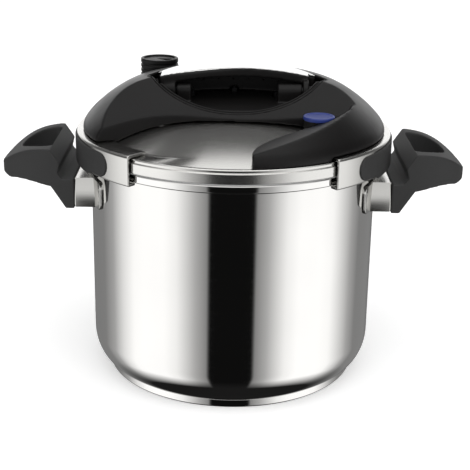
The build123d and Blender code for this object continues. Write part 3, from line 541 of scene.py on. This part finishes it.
def steel(name, tint, scale, rough, bump, shade=0.06):
    """Stainless steel, finished with lines or a grain of the given scale.

    Its colour drifts a little, and the finish shows as a change of roughness and a faint relief.
    """
    material, tree, place = blank_material(name)
    lines = stretched_noise(tree, place, scale)
    clouds = stretched_noise(tree, place, (9.0, 9.0, 9.0), 2.0)
    low = tuple(c * (1.0 - shade) for c in tint)
    tone = ramp(tree, clouds, [(0.3, low), (0.7, tuple(tint))])
    gloss = ramp(tree, lines, [(0.25, rough[0]), (0.75, rough[1])])
    relief = add(
        tree, "ShaderNodeBump",
        inputs={"Strength": bump, "Distance": 0.05 * MM, "Height": lines},
    )
    close_material(tree, {
        "Base Color": tone,
        "Metallic": 1.0,
        "Roughness": gloss,
        "Normal": relief.outputs["Normal"],
    })
    return material


def plastic(name, tint, grain, rough, bump, specular=0.35, lift=1.5):
    """Moulded plastic with a fine spark-eroded grain and slightly uneven colour."""
    material, tree, place = blank_material(name)
    pitch = 1.0 / grain
    specks = stretched_noise(tree, place, (pitch, pitch, pitch), 3.0)
    clouds = stretched_noise(tree, place, (22.0, 22.0, 22.0), 3.0)
    tone = ramp(tree, specks, [(0.3, tuple(tint)), (0.75, tuple(c * lift for c in tint))])
    gloss = ramp(tree, clouds, [(0.3, rough[0]), (0.7, rough[1])])
    relief = add(
        tree, "ShaderNodeBump",
        inputs={"Strength": bump, "Distance": 0.06 * MM, "Height": specks},
    )
    close_material(tree, {
        "Base Color": tone,
        "Roughness": gloss,
        "IOR": 1.5,
        "Specular IOR Level": specular,
        "Normal": relief.outputs["Normal"],
    })
    return material


def finish(name):
    """A finish by name, made once."""
    known = bpy.data.materials.get(name)
    return known if known and known.use_nodes else FINISHES[name](bpy.context.scene.canner_finish)


def polished_stainless(values):
    """18/10 stainless steel, mirror-buffed: shows the studio sharply, with faint lines round the wall."""
    return steel("polished_stainless", values.mirror_steel, (6.0, 6.0, 700.0), (0.045, 0.085), 0.02)


def brushed_stainless(values):
    """Stainless steel brushed along its length: spreads a highlight across fine level lines."""
    across = 1.0 / values.brushing
    return steel("brushed_stainless", values.satin_steel, (30.0, 30.0, across), (0.17, 0.24), 0.03)


def satin_stainless(values):
    """Stainless steel with a fine satin grain: a soft, sparkling grey."""
    pitch = 1.0 / values.brushing
    return steel("satin_stainless", values.lid_steel, (pitch * 0.4, pitch, pitch), (0.15, 0.25), 0.2, 0.12)


def bright_trim(values):
    """Chrome-bright pressed steel: almost white where it faces the softbox."""
    return steel("bright_trim", values.trim_steel, (300.0, 30.0, 30.0), (0.08, 0.14), 0.03)


def turned_aluminium(values):
    """Aluminium disc, turned and pressed: dull grey with fine turning lines."""
    return steel("turned_aluminium", values.aluminium, (300.0, 300.0, 900.0), (0.32, 0.45), 0.15)


def black_oxide(values):
    """Mild steel blackened with oxide: dark and slightly cloudy, as hidden fasteners are."""
    return steel("black_oxide", values.oxide, (500.0, 500.0, 500.0), (0.36, 0.5), 0.12, 0.3)


def black_phenolic(values):
    """Phenolic resin, compression moulded: black with a low, even sheen."""
    return plastic("black_phenolic", values.phenolic, values.grain, (0.28, 0.36), 0.08, 0.04)


def textured_nylon(values):
    """Glass-filled nylon from an etched mould: matt black with a fine grain."""
    return plastic("textured_nylon", values.nylon, values.grain, (0.34, 0.44), 0.16, 0.16)


def blue_abs(values):
    """ABS, injection moulded in blue: an even satin face."""
    return plastic("blue_abs", values.blue, values.grain, (0.30, 0.38), 0.05, 0.3, 1.15)


def grey_silicone(values):
    """Silicone rubber, moulded: soft grey with a dry, waxy sheen."""
    return plastic("grey_silicone", values.silicone, values.grain, (0.50, 0.60), 0.05, 0.4, 1.1)


FINISHES = {
    "polished_stainless": polished_stainless,
    "brushed_stainless": brushed_stainless,
    "satin_stainless": satin_stainless,
    "bright_trim": bright_trim,
    "turned_aluminium": turned_aluminium,
    "black_oxide": black_oxide,
    "black_phenolic": black_phenolic,
    "textured_nylon": textured_nylon,
    "blue_abs": blue_abs,
    "grey_silicone": grey_silicone,
}

# The usual finish of each material slot in the record.
SLOT_FINISH = {
    "polished_steel": "polished_stainless",
    "satin_steel": "brushed_stainless",
    "trim_steel": "bright_trim",
    "plain_steel": "black_oxide",
    "core_aluminium": "turned_aluminium",
    "black_phenolic": "black_phenolic",
    "black_nylon": "textured_nylon",
    "blue_plastic": "blue_abs",
    "grey_silicone": "grey_silicone",
}


# ---------------------------------------------------------------------------
# Stage
# ---------------------------------------------------------------------------

# Brightness of the studio just below the horizon, by degrees from straight behind the camera.
# A narrow black flag behind the camera stands between two grey wings and two softboxes.
ROUND_STUDIO = [
    (-180, 0.01), (-171, 0.01), (-164, 0.14), (-152, 0.16), (-128, 0.19), (-112, 0.34), (-99, 0.70),
    (-86, 0.96), (-76, 1.0), (-56, 1.0), (-45, 0.88), (-37, 0.64), (-29, 0.40), (-19, 0.21),
    (-18, 0.004), (18, 0.004), (19, 0.20), (29, 0.38), (37, 0.62), (45, 0.85), (56, 0.99),
    (76, 1.0), (88, 0.94), (99, 0.66), (112, 0.34), (124, 0.19), (150, 0.18), (164, 0.12),
    (171, 0.01), (180, 0.01),
]
# Brightness from level to straight up, in three directions. On the camera's side: a pale wall, then a
# softbox that ends just short of straight up.
UPPER_FRONT = [(0.0, 0.75), (0.30, 0.6), (0.60, 0.7), (0.80, 1.0), (0.96, 1.0), (1.0, 0.3)]
# To the left and right: black flags, open at the top.
UPPER_SIDE = [(0.0, 0.10), (0.6, 0.08), (0.85, 0.4), (1.0, 1.0)]
# Behind the canner: a white backdrop, a dark gap, a strip of light, and a dark ceiling.
UPPER_BACK = [
    (0.0, 1.0), (0.40, 1.0), (0.47, 0.05), (0.70, 0.05), (0.75, 1.0), (0.87, 1.0), (0.92, 0.08), (1.0, 0.3),
]
# Where those three meet, in degrees from straight behind the camera.
FRONT_EDGE = (50.0, 80.0)
BACK_EDGE = (132.0, 148.0)
# Where the lower view gives way to the dark floor close by, and to the upper view, from -1 down to 1 up.
FLOOR_EDGE = (-0.84, -0.62)
UPPER_EDGE = (-0.14, -0.04)
FLOOR_TONE = 0.01
# The soft light overhead: its place in metres, a little right of and in front of the canner, and its width.
KEY_PLACE = (0.2, -0.3, 1.8)
KEY_WIDE = 2.4
FLOOR_RADIUS = 9.0


def spread(tree, value, low, high):
    """0 where a value is at low, 1 where it is at high."""
    node = add(tree, "ShaderNodeMapRange", inputs={"Value": value, "From Min": low, "From Max": high})
    return node.outputs["Result"]


def blended(tree, factor, first, second):
    node = add(tree, "ShaderNodeMix", {"data_type": "RGBA"}, {"Factor": factor, "A": first, "B": second})
    return node.outputs["Result"]


def studio_world(scene, brightness):
    world = bpy.data.worlds.new("studio")
    world.use_nodes = True
    tree = world.node_tree
    tree.nodes.clear()
    direction = add(tree, "ShaderNodeTexCoord").outputs["Generated"]
    parts = add(tree, "ShaderNodeSeparateXYZ", inputs={"Vector": direction})
    up = parts.outputs["Z"]
    front = add(tree, "ShaderNodeMath", {"operation": "MULTIPLY"}, {0: parts.outputs["Y"], 1: -1.0})
    around = add(
        tree, "ShaderNodeMath", {"operation": "ARCTAN2"},
        {0: parts.outputs["X"], 1: front.outputs["Value"]},
    )
    stops = [((turn + 180) / 360, float(value)) for turn, value in ROUND_STUDIO]
    level = ramp(tree, spread(tree, around.outputs["Value"], -pi, pi), stops)
    floor = (FLOOR_TONE, FLOOR_TONE, FLOOR_TONE, 1.0)
    lower = blended(tree, spread(tree, up, *FLOOR_EDGE), floor, level)
    aside = add(tree, "ShaderNodeMath", {"operation": "ABSOLUTE"}, {0: around.outputs["Value"]})
    upper = ramp(tree, up, UPPER_FRONT)
    for edge, view in ((FRONT_EDGE, UPPER_SIDE), (BACK_EDGE, UPPER_BACK)):
        share_in = spread(tree, aside.outputs["Value"], radians(edge[0]), radians(edge[1]))
        upper = blended(tree, share_in, upper, ramp(tree, up, view))
    light = blended(tree, spread(tree, up, *UPPER_EDGE), lower, upper)
    glow = add(tree, "ShaderNodeBackground", inputs={"Color": light, "Strength": brightness})
    plain = add(tree, "ShaderNodeBackground", inputs={"Color": (1, 1, 1, 1), "Strength": 1.0})
    seen = add(tree, "ShaderNodeLightPath").outputs["Is Camera Ray"]
    both = add(
        tree, "ShaderNodeMixShader",
        inputs={"Fac": seen, 1: glow.outputs["Background"], 2: plain.outputs["Background"]},
    )
    add(tree, "ShaderNodeOutputWorld", inputs={"Surface": both.outputs["Shader"]})
    scene.world = world


class CANNER_OT_stage(bpy.types.Operator):
    """Set the camera, the studio's light and a pale floor"""
    bl_idname = "canner.stage"
    bl_label = "Stage"

    def execute(self, context):
        values = context.scene.canner_stage
        target = Vector((0.0, 0.0, values.aim))
        lift = values.elevation
        offset = Vector((0.0, -cos(lift), sin(lift))) * values.distance
        lens = bpy.data.cameras.new("camera")
        lens.lens = values.lens
        lens.sensor_width = 36.0
        lens.shift_x = values.shift
        lens.clip_start = 0.01
        lens.clip_end = 50.0
        camera = bpy.data.objects.new("camera", lens)
        context.scene.collection.objects.link(camera)
        aim = Matrix.Rotation(pi / 2 - lift, 4, "X") @ Matrix.Rotation(values.roll, 4, "Z")
        camera.matrix_world = Matrix.Translation(target + offset) @ aim
        context.scene.camera = camera
        context.scene.view_settings.view_transform = "Standard"

        studio_world(context.scene, values.brightness)
        key_data = bpy.data.lights.new("key", "AREA")
        key_data.shape = "DISK"
        key_data.size = KEY_WIDE
        key_data.energy = values.key
        key = bpy.data.objects.new("key", key_data)
        context.scene.collection.objects.link(key)
        spot = Vector(KEY_PLACE)
        towards = (target - spot).to_track_quat("-Z", "Y")
        key.matrix_world = Matrix.Translation(spot) @ towards.to_matrix().to_4x4()

        bm = bmesh.new()
        bmesh.ops.create_circle(bm, cap_ends=True, radius=FLOOR_RADIUS, segments=96)
        floor = as_object(bm, "floor")
        floor.visible_glossy = False
        material, tree, place = blank_material("painted_floor")
        mottle = stretched_noise(tree, place, (3.0, 3.0, 3.0), 2.0)
        dim = tuple(c * 0.97 for c in values.floor)
        tone = ramp(tree, mottle, [(0.3, dim), (0.7, tuple(values.floor))])
        close_material(tree, {
            "Base Color": tone,
            "Roughness": 0.8,
            "Specular IOR Level": 0.1,
            "Emission Color": (1.0, 1.0, 1.0, 1.0),
            "Emission Strength": values.floor_glow,
        })
        floor.data.materials.append(material)
        return {"FINISHED"}


# ---------------------------------------------------------------------------
# Pot
# ---------------------------------------------------------------------------

def pot_sizes(values):
    """The pot's rim radius, wall radius, bottom and top, from the frame."""
    low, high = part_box("pot_body")
    return high.x, high.x - values.rim_overhang, low.z, high.z


class CANNER_OT_pot(bpy.types.Operator):
    """Spin the pot with its round lower corner and rolled rim"""
    bl_idname = "canner.pot"
    bl_label = "Pot"

    def execute(self, context):
        values = context.scene.canner_pot
        rim, wall, bottom, top = pot_sizes(values)
        thick = values.wall
        wide, tall = values.corner_wide, values.corner_tall
        centre = (wall - wide, bottom + tall)
        rim_low = top - values.rim_tall
        outline = [Vector((0.0, bottom))]
        outline += [Vector(p) for p in arc(centre, wide, tall, 270, 360, 24)]
        outline += rounded([
            (wall, bottom + tall + MM),
            (wall, rim_low, 0.8 * MM),
            (rim, rim_low, values.rim_round),
            (rim, top, values.rim_round),
            (wall - thick, top, SHEET_EDGE),
            (wall - thick, bottom + tall + MM),
        ], closed=False)
        outline += [Vector(p) for p in arc(centre, wide - thick, tall - thick, 360, 270, 20)]
        outline.append(Vector((0.0, bottom + thick)))
        bm = spun(outline, steps=256, closed=False)
        finish_piece("pot", bm, "pot", "polished_steel", "pot_body", 60)
        return {"FINISHED"}


class CANNER_OT_base(bpy.types.Operator):
    """Spin the steel cap of the base, with the rings pressed in it"""
    bl_idname = "canner.base"
    bl_label = "Base"

    def execute(self, context):
        values = context.scene.canner_pot
        low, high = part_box("base_cap")
        out = high.x
        sheet = values.cap_sheet
        ring = values.cap_ring
        slope, flat = values.ring_slope, values.ring_flat
        points = [(0.0, low.z)]
        for share_out in (0.2, 0.45, 0.7):
            start = out * share_out
            points += [
                (start, low.z, ring),
                (start + slope, low.z + ring, ring),
                (start + slope + flat, low.z + ring, ring),
                (start + 2 * slope + flat, low.z, ring),
            ]
        points += [
            (out, low.z, values.cap_round),
            (out, low.z + values.cap_tall, 0.3 * MM),
            (out - sheet, low.z + values.cap_tall, 0.3 * MM),
            (out - sheet, low.z + sheet, values.cap_round - sheet),
            (0.0, low.z + sheet),
        ]
        bm = spun(rounded(points, closed=False), steps=256, closed=False)
        finish_piece("base", bm, "pot", "polished_steel", "base_cap")
        return {"FINISHED"}


class CANNER_OT_brackets(bpy.types.Operator):
    """Fold the brackets and bend their welded plates round the wall"""
    bl_idname = "canner.brackets"
    bl_label = "Brackets"

    def execute(self, context):
        values = context.scene.canner_handles
        low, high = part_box("bracket_right")
        plate_low, plate_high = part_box("flange_plate_right")
        out = plate_high.x
        wall = pot_sizes(context.scene.canner_pot)[1]
        half_arc = asin(plate_high.y / out) * out
        for name, side in sides():
            bm = slab(low, high)
            bevelled(bm, edges_along(bm, 1) + edges_along(bm, 2), values.bracket_round)
            sliced(bm, 1, 4 * MM)
            sliced(bm, 2, 1.5 * MM)
            for vert in bm.verts:
                rise = (vert.co.z - low.z) / (high.z - low.z)
                vert.co.y *= 1.0 - values.bracket_lean * rise ** 2 / high.y
                inner = sqrt(out ** 2 - vert.co.y ** 2) - values.bracket_fit
                if vert.co.x < (low.x + high.x) / 2:
                    vert.co.x = inner
            finish_piece("bracket_cover_" + name, mirrored(bm, side), "pot", "satin_steel", "bracket_" + name)
            bm = slab((wall, -half_arc, plate_low.z), (out, half_arc, plate_high.z))
            bevelled(bm, edges_along(bm, 0), values.plate_round, 6)
            bevelled(bm, outer_rim(bm, out), values.plate_edge, 2)
            sliced(bm, 1, BEND_STEP)
            wrapped(bm, out)
            for turn in (-values.weld_turn, values.weld_turn):
                for z in (plate_low.z + values.weld_inset, plate_high.z - values.weld_inset):
                    dot = bmesh.new()
                    bmesh.ops.create_uvsphere(dot, u_segments=16, v_segments=8, radius=values.weld_dot)
                    bmesh.ops.scale(dot, vec=(0.3, 1.0, 1.0), verts=dot.verts)
                    bmesh.ops.translate(dot, vec=(out - values.weld_sunk, 0.0, z), verts=dot.verts)
                    around = Matrix.Rotation(turn, 3, "Z")
                    bmesh.ops.rotate(dot, cent=(0, 0, 0), matrix=around, verts=dot.verts)
                    joined(bm, dot)
            finish_piece(
                "welded_plate_" + name, mirrored(bm, side), "pot", "satin_steel", "flange_plate_" + name,
            )
        return {"FINISHED"}


class CANNER_OT_side_handles(bpy.types.Operator):
    """Mould the two side handles"""
    bl_idname = "canner.side_handles"
    bl_label = "Side handles"

    def execute(self, context):
        values = context.scene.canner_handles
        for name, side in sides():
            bm = moulded("side_handle_" + name, values.grip_voxel, 4)
            low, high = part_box("side_handle_right")
            start = low.x + values.grip_root
            for vert in bm.verts:
                along = (abs(vert.co.x) - start) / (high.x - start)
                if along > 0.0:
                    upper = eased((vert.co.z - low.z) / (high.z - low.z) * 1.6)
                    rise = values.grip_swell * sin(pi * along) - values.grip_fall * along ** 3
                    vert.co.z += upper * rise
            finish_piece("grip_" + name, bm, "pot", "black_phenolic", "side_handle_" + name, 70)
        return {"FINISHED"}


# ---------------------------------------------------------------------------
# Lid and jaws
# ---------------------------------------------------------------------------

class CANNER_OT_lid(bpy.types.Operator):
    """Spin the lid from its skirt to the crown of its dome"""
    bl_idname = "canner.lid"
    bl_label = "Lid"

    def execute(self, context):
        values = context.scene.canner_lid
        low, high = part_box("lid_shell")
        out = high.x
        skirt_top = low.z + values.skirt_tall
        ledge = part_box("gasket")[1].z + values.wall + values.gasket_room
        foot = out - values.ledge_wide
        thick = values.wall
        dome = []
        reach = foot / 3
        handles = [
            Vector((foot, ledge)),
            Vector((foot - reach, ledge + reach * values.dome_foot)),
            Vector((reach * 1.1, high.z)),
            Vector((0.0, high.z)),
        ]
        for step in range(41):
            t = step / 40
            weights = ((1 - t) ** 3, 3 * t * (1 - t) ** 2, 3 * t * t * (1 - t), t ** 3)
            point = Vector((0.0, 0.0))
            for weight, handle in zip(weights, handles):
                point += weight * handle
            dome.append(point)
        upright = out - values.skirt_step
        rim = upright - thick
        flat = [(foot + step * MM, ledge) for step in range(1, int(values.ledge_wide / MM) - 2)]
        edge = rounded(flat + [
            (upright, ledge, 0.9 * MM),
            (upright, skirt_top, 0.4 * MM),
            (out, skirt_top, 0.7 * MM),
            (out, low.z, SHEET_EDGE),
            (out - thick, low.z, SHEET_EDGE),
            (out - thick, skirt_top - thick, SHEET_EDGE),
            (rim, ledge - thick, SHEET_EDGE),
            (foot + MM, ledge - thick),
        ], closed=False)
        inner = [p - Vector((0.0, thick)) for p in dome]
        outline = list(reversed(dome)) + edge + inner
        bm = spun(outline, steps=256, closed=False)
        brow = values.brow
        rise = (height_on(dome, brow) - ledge) / (1.0 - (brow / rim) ** 2)
        for vert in bm.verts:
            reach = vert.co.xy.length
            if brow < reach < rim:
                turn = abs(atan2(vert.co.x, -vert.co.y))
                fade = (turn - values.swell_span) / (values.swell_fade - values.swell_span)
                wanted = rise * (1.0 - (reach / rim) ** 2)
                vert.co.z += (wanted - height_on(dome, reach) + ledge) * (1.0 - eased(fade))
        finish_piece("lid", bm, "lid", "satin_steel", "lid_shell", look="satin_stainless")
        return {"FINISHED"}


class CANNER_OT_jaws(bpy.types.Operator):
    """Roll the two jaws and fit their plastic inserts"""
    bl_idname = "canner.jaws"
    bl_label = "Jaws"

    def execute(self, context):
        values = context.scene.canner_lid
        low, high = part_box("jaw_right")
        insert_low, insert_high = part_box("jaw_insert_right")
        out = high.x
        thick = values.jaw_wall
        edge = values.jaw_round
        outline = rounded([
            (out - values.jaw_lip, high.z, SHEET_EDGE),
            (out, high.z, edge),
            (out, low.z, edge),
            (out - values.jaw_hook, low.z, SHEET_EDGE),
            (out - values.jaw_hook, low.z + thick, SHEET_EDGE),
            (out - thick, low.z + thick, SHEET_EDGE),
            (out - thick, high.z - thick, SHEET_EDGE),
            (out - values.jaw_lip, high.z - thick, SHEET_EDGE),
        ])
        proud = insert_high.x
        half_arc = values.insert_span * proud
        drop = insert_low.z
        band_low = drop + values.insert_drop
        for name, side in sides():
            bm = spun(outline, steps=96, span=2 * values.jaw_span, start=-values.jaw_span)
            # The cut ends are the only faces with many sides.
            caps = [f for f in bm.faces if len(f.verts) > 8]
            bevelled(bm, [e for f in caps for e in f.edges], values.jaw_end_round, 3)
            finish_piece(
                "steel_jaw_" + name, mirrored(bm, side), name + "_jaw", "satin_steel", "jaw_" + name,
            )
            bm = slab((out - values.insert_sunk, -half_arc, band_low), (proud, half_arc, insert_high.z))
            bevelled(bm, edges_along(bm, 0), (insert_high.z - band_low) / 2 - 0.05 * MM, 10)
            bevelled(bm, outer_rim(bm, proud), values.insert_edge, 3)
            sliced(bm, 1, BEND_STEP)
            middle = (band_low + insert_high.z) / 2
            for vert in bm.verts:
                from_end = values.insert_drop_span * proud - abs(vert.co.y)
                share_in = min(max(from_end / (4 * MM), 0.0), 1.0)
                depth = max(middle - vert.co.z, 0.0) / (middle - band_low)
                vert.co.z -= values.insert_drop * share_in * depth
            wrapped(bm, proud)
            finish_piece(
                "jaw_band_" + name, mirrored(bm, side), name + "_jaw", "black_phenolic", "jaw_insert_" + name,
            )
        return {"FINISHED"}


# ---------------------------------------------------------------------------
# Cover, finger well and folding handle
# ---------------------------------------------------------------------------

class CANNER_OT_cover(bpy.types.Operator):
    """Mould the cover"""
    bl_idname = "canner.cover"
    bl_label = "Cover"

    def execute(self, context):
        values = context.scene.canner_cover
        bm = moulded("cover", values.voxel, 5)
        low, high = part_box("cover")
        channel = ((0.93, -0.5), (0.86, 24.0), (0.72, 44.0), (0.52, 56.0))
        shoulder = [(low.x * share_out, back * MM) for share_out, back in channel]
        channelled(bm, shoulder, values.channel_wide, values.channel_deep)
        eye_bead(bm, values, *COVER_BEAD)
        finish_piece("top_cover", bm, "lid", "black_nylon", "cover", 70)
        return {"FINISHED"}


class CANNER_OT_finger_well(bpy.types.Operator):
    """Mould the finger well"""
    bl_idname = "canner.finger_well"
    bl_label = "Finger well"

    def execute(self, context):
        values = context.scene.canner_cover
        bm = moulded("finger_well", values.well_voxel, 4)
        for inwards, end in WELL_BEADS:
            eye_bead(bm, values, inwards, end)
        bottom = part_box("finger_well")[0].z
        back, down = Vector((0.0, 1.0, 0.0)), Vector((0.0, 0.0, -1.0))
        # Each dot stands where a line from inside the well meets its back wall, or its floor.
        tree = BVHTree.FromBMesh(bm)
        for step in range(7):
            x = step * values.dot_pitch - values.dot_first
            aims = [(Vector((x, 20 * MM, bottom + values.dot_rise)), back)]
            if step < 5:
                aims.append((Vector((x + values.dot_shift, values.dot_row, bottom + 8 * MM)), down))
            for start, way in aims:
                place = tree.ray_cast(start, way)[0]
                if place is None:
                    raise RuntimeError("a grip dot has no surface to stand on")
                dot = bmesh.new()
                bmesh.ops.create_uvsphere(dot, u_segments=12, v_segments=8, radius=values.dot)
                bmesh.ops.translate(dot, vec=place, verts=dot.verts)
                joined(bm, dot)
        finish_piece("grip_well", bm, "lid", "black_nylon", "finger_well", 70)
        return {"FINISHED"}


class CANNER_OT_arch(bpy.types.Operator):
    """Mould the folding handle and press its bright trim"""
    bl_idname = "canner.arch"
    bl_label = "Folding handle"

    def execute(self, context):
        values = context.scene.canner_cover
        bm = moulded("arch_handle", values.arch_voxel, 5)
        finish_piece("arch", bm, "folding_handle", "black_nylon", "arch_handle", 70)
        bm = moulded("arch_trim", values.trim_voxel, 4)
        finish_piece("arch_plate", bm, "folding_handle", "trim_steel", "arch_trim", 70)
        return {"FINISHED"}


# ---------------------------------------------------------------------------
# Valve and push button
# ---------------------------------------------------------------------------

class CANNER_OT_valve(bpy.types.Operator):
    """Turn the ribbed valve cap with its dished top"""
    bl_idname = "canner.valve"
    bl_label = "Valve"

    def execute(self, context):
        values = context.scene.canner_cover
        low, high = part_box("valve_cap")
        centre = (low + high) / 2
        out = high.x - centre.x
        groove = values.valve_ring
        floor = high.z - values.valve_dish
        points = [((out - 3.0 * MM) * step / 24, floor) for step in range(25)]
        points += [
            (out - 2.4 * MM, high.z, 0.5 * MM),
            (out, high.z, 0.9 * MM),
        ]
        for ring in range(3):
            z = high.z - 3.4 * MM - ring * values.valve_rib
            points += [
                (out, z, MOULD_EDGE),
                (out - groove, z - 0.5 * MM, 0.3 * MM),
                (out - groove, z - 1.5 * MM, 0.3 * MM),
                (out, z - 2.0 * MM, MOULD_EDGE),
            ]
        points += [
            (out, low.z, 0.6 * MM),
            (out - values.valve_wall, low.z, MOULD_EDGE),
            (out - values.valve_wall, high.z - values.valve_top),
            (0.0, high.z - values.valve_top),
        ]
        outline = rounded(points, closed=False, steps=4)
        bm = spun(outline, steps=128, centre=(centre.x, centre.y), closed=False)
        notch = bmesh.new()
        round_end = (centre.x + values.notch_out, centre.y - values.notch_back)
        plan = arc(round_end, values.notch, values.notch, 0, 345, 23)
        plan.append((centre.x - values.notch_tip, centre.y + values.notch_back))
        for x, y in plan:
            for z in (floor - values.notch_deep, high.z + MM):
                notch.verts.new((x, y, z))
        bmesh.ops.convex_hull(notch, input=notch.verts)
        bm = carved(bm, notch)
        finish_piece("valve", bm, "valve", "black_nylon", "valve_cap")
        return {"FINISHED"}


class CANNER_OT_button(bpy.types.Operator):
    """Turn the push button's blue cap and its black body"""
    bl_idname = "canner.button"
    bl_label = "Push button"

    def execute(self, context):
        values = context.scene.canner_cover
        low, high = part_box("button_cap")
        centre = (low + high) / 2
        out = high.x - centre.x
        rim = values.button_rim
        outline = rounded([
            (0.0, high.z - rim),
            (out - 2.6 * MM, high.z - rim, MOULD_EDGE),
            (out - 2.0 * MM, high.z, MOULD_EDGE),
            (out, high.z, 0.9 * MM),
            (out, low.z, MOULD_EDGE),
            (0.0, low.z),
        ], closed=False)
        bm = spun(outline, steps=96, centre=(centre.x, centre.y), closed=False)
        finish_piece("button_face", bm, "button", "blue_plastic", "button_cap")
        body_low, body_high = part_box("button_body")
        body_out = body_high.x - centre.x
        stem = values.button_stem
        waist = body_high.z - values.button_head
        outline = rounded([
            (0.0, body_high.z),
            (body_out, body_high.z, 0.3 * MM),
            (body_out, waist, 0.6 * MM),
            (stem, waist, MOULD_EDGE),
            (stem, body_low.z, MOULD_EDGE),
            (0.0, body_low.z),
        ], closed=False)
        bm = spun(outline, steps=96, centre=(centre.x, centre.y), closed=False)
        finish_piece("button_stem", bm, "button", "black_nylon", "button_body")
        return {"FINISHED"}


class CANNER_OT_fittings(bpy.types.Operator):
    """Give every CAD piece that stays in view its finish"""
    bl_idname = "canner.fittings"
    bl_label = "Fittings"

    def execute(self, context):
        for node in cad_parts.values():
            for slot in node.material_slots:
                wanted = SLOT_FINISH.get(slot.material.name.split(".")[0])
                if wanted is None:
                    raise RuntimeError(f"{node.name} has a slot with no finish: {slot.material.name}")
                slot.material = finish(wanted)
        return {"FINISHED"}


# ---------------------------------------------------------------------------
# Panel and registration
# ---------------------------------------------------------------------------

STEPS = [
    CANNER_OT_stage,
    CANNER_OT_pot,
    CANNER_OT_base,
    CANNER_OT_brackets,
    CANNER_OT_side_handles,
    CANNER_OT_lid,
    CANNER_OT_jaws,
    CANNER_OT_cover,
    CANNER_OT_finger_well,
    CANNER_OT_arch,
    CANNER_OT_valve,
    CANNER_OT_button,
    CANNER_OT_fittings,
]

GROUPS = {
    "canner_stage": CannerStage,
    "canner_pot": CannerPot,
    "canner_handles": CannerHandles,
    "canner_lid": CannerLid,
    "canner_cover": CannerCover,
    "canner_finish": CannerFinish,
}


class CANNER_PT_panel(bpy.types.Panel):
    """Sizes, colours and steps of the canner"""
    bl_idname = "CANNER_PT_panel"
    bl_label = "Pressure canner"
    bl_space_type = "VIEW_3D"
    bl_region_type = "UI"
    bl_category = "Canner"

    def draw(self, context):
        for step in STEPS:
            self.layout.operator(step.bl_idname)
        for name, group in GROUPS.items():
            box = self.layout.box()
            for value in group.__annotations__:
                box.prop(getattr(context.scene, name), value)


def register():
    for group in GROUPS.values():
        bpy.utils.register_class(group)
    for name, group in GROUPS.items():
        setattr(bpy.types.Scene, name, PointerProperty(type=group))
    for step in STEPS:
        bpy.utils.register_class(step)
    bpy.utils.register_class(CANNER_PT_panel)


def unregister():
    bpy.utils.unregister_class(CANNER_PT_panel)
    for step in reversed(STEPS):
        bpy.utils.unregister_class(step)
    for name in GROUPS:
        delattr(bpy.types.Scene, name)
    for group in reversed(list(GROUPS.values())):
        bpy.utils.unregister_class(group)


def main():
    register()
    for step in STEPS:
        getattr(bpy.ops.canner, step.bl_idname.split(".")[1])()


if __name__ == "__main__":
    main()
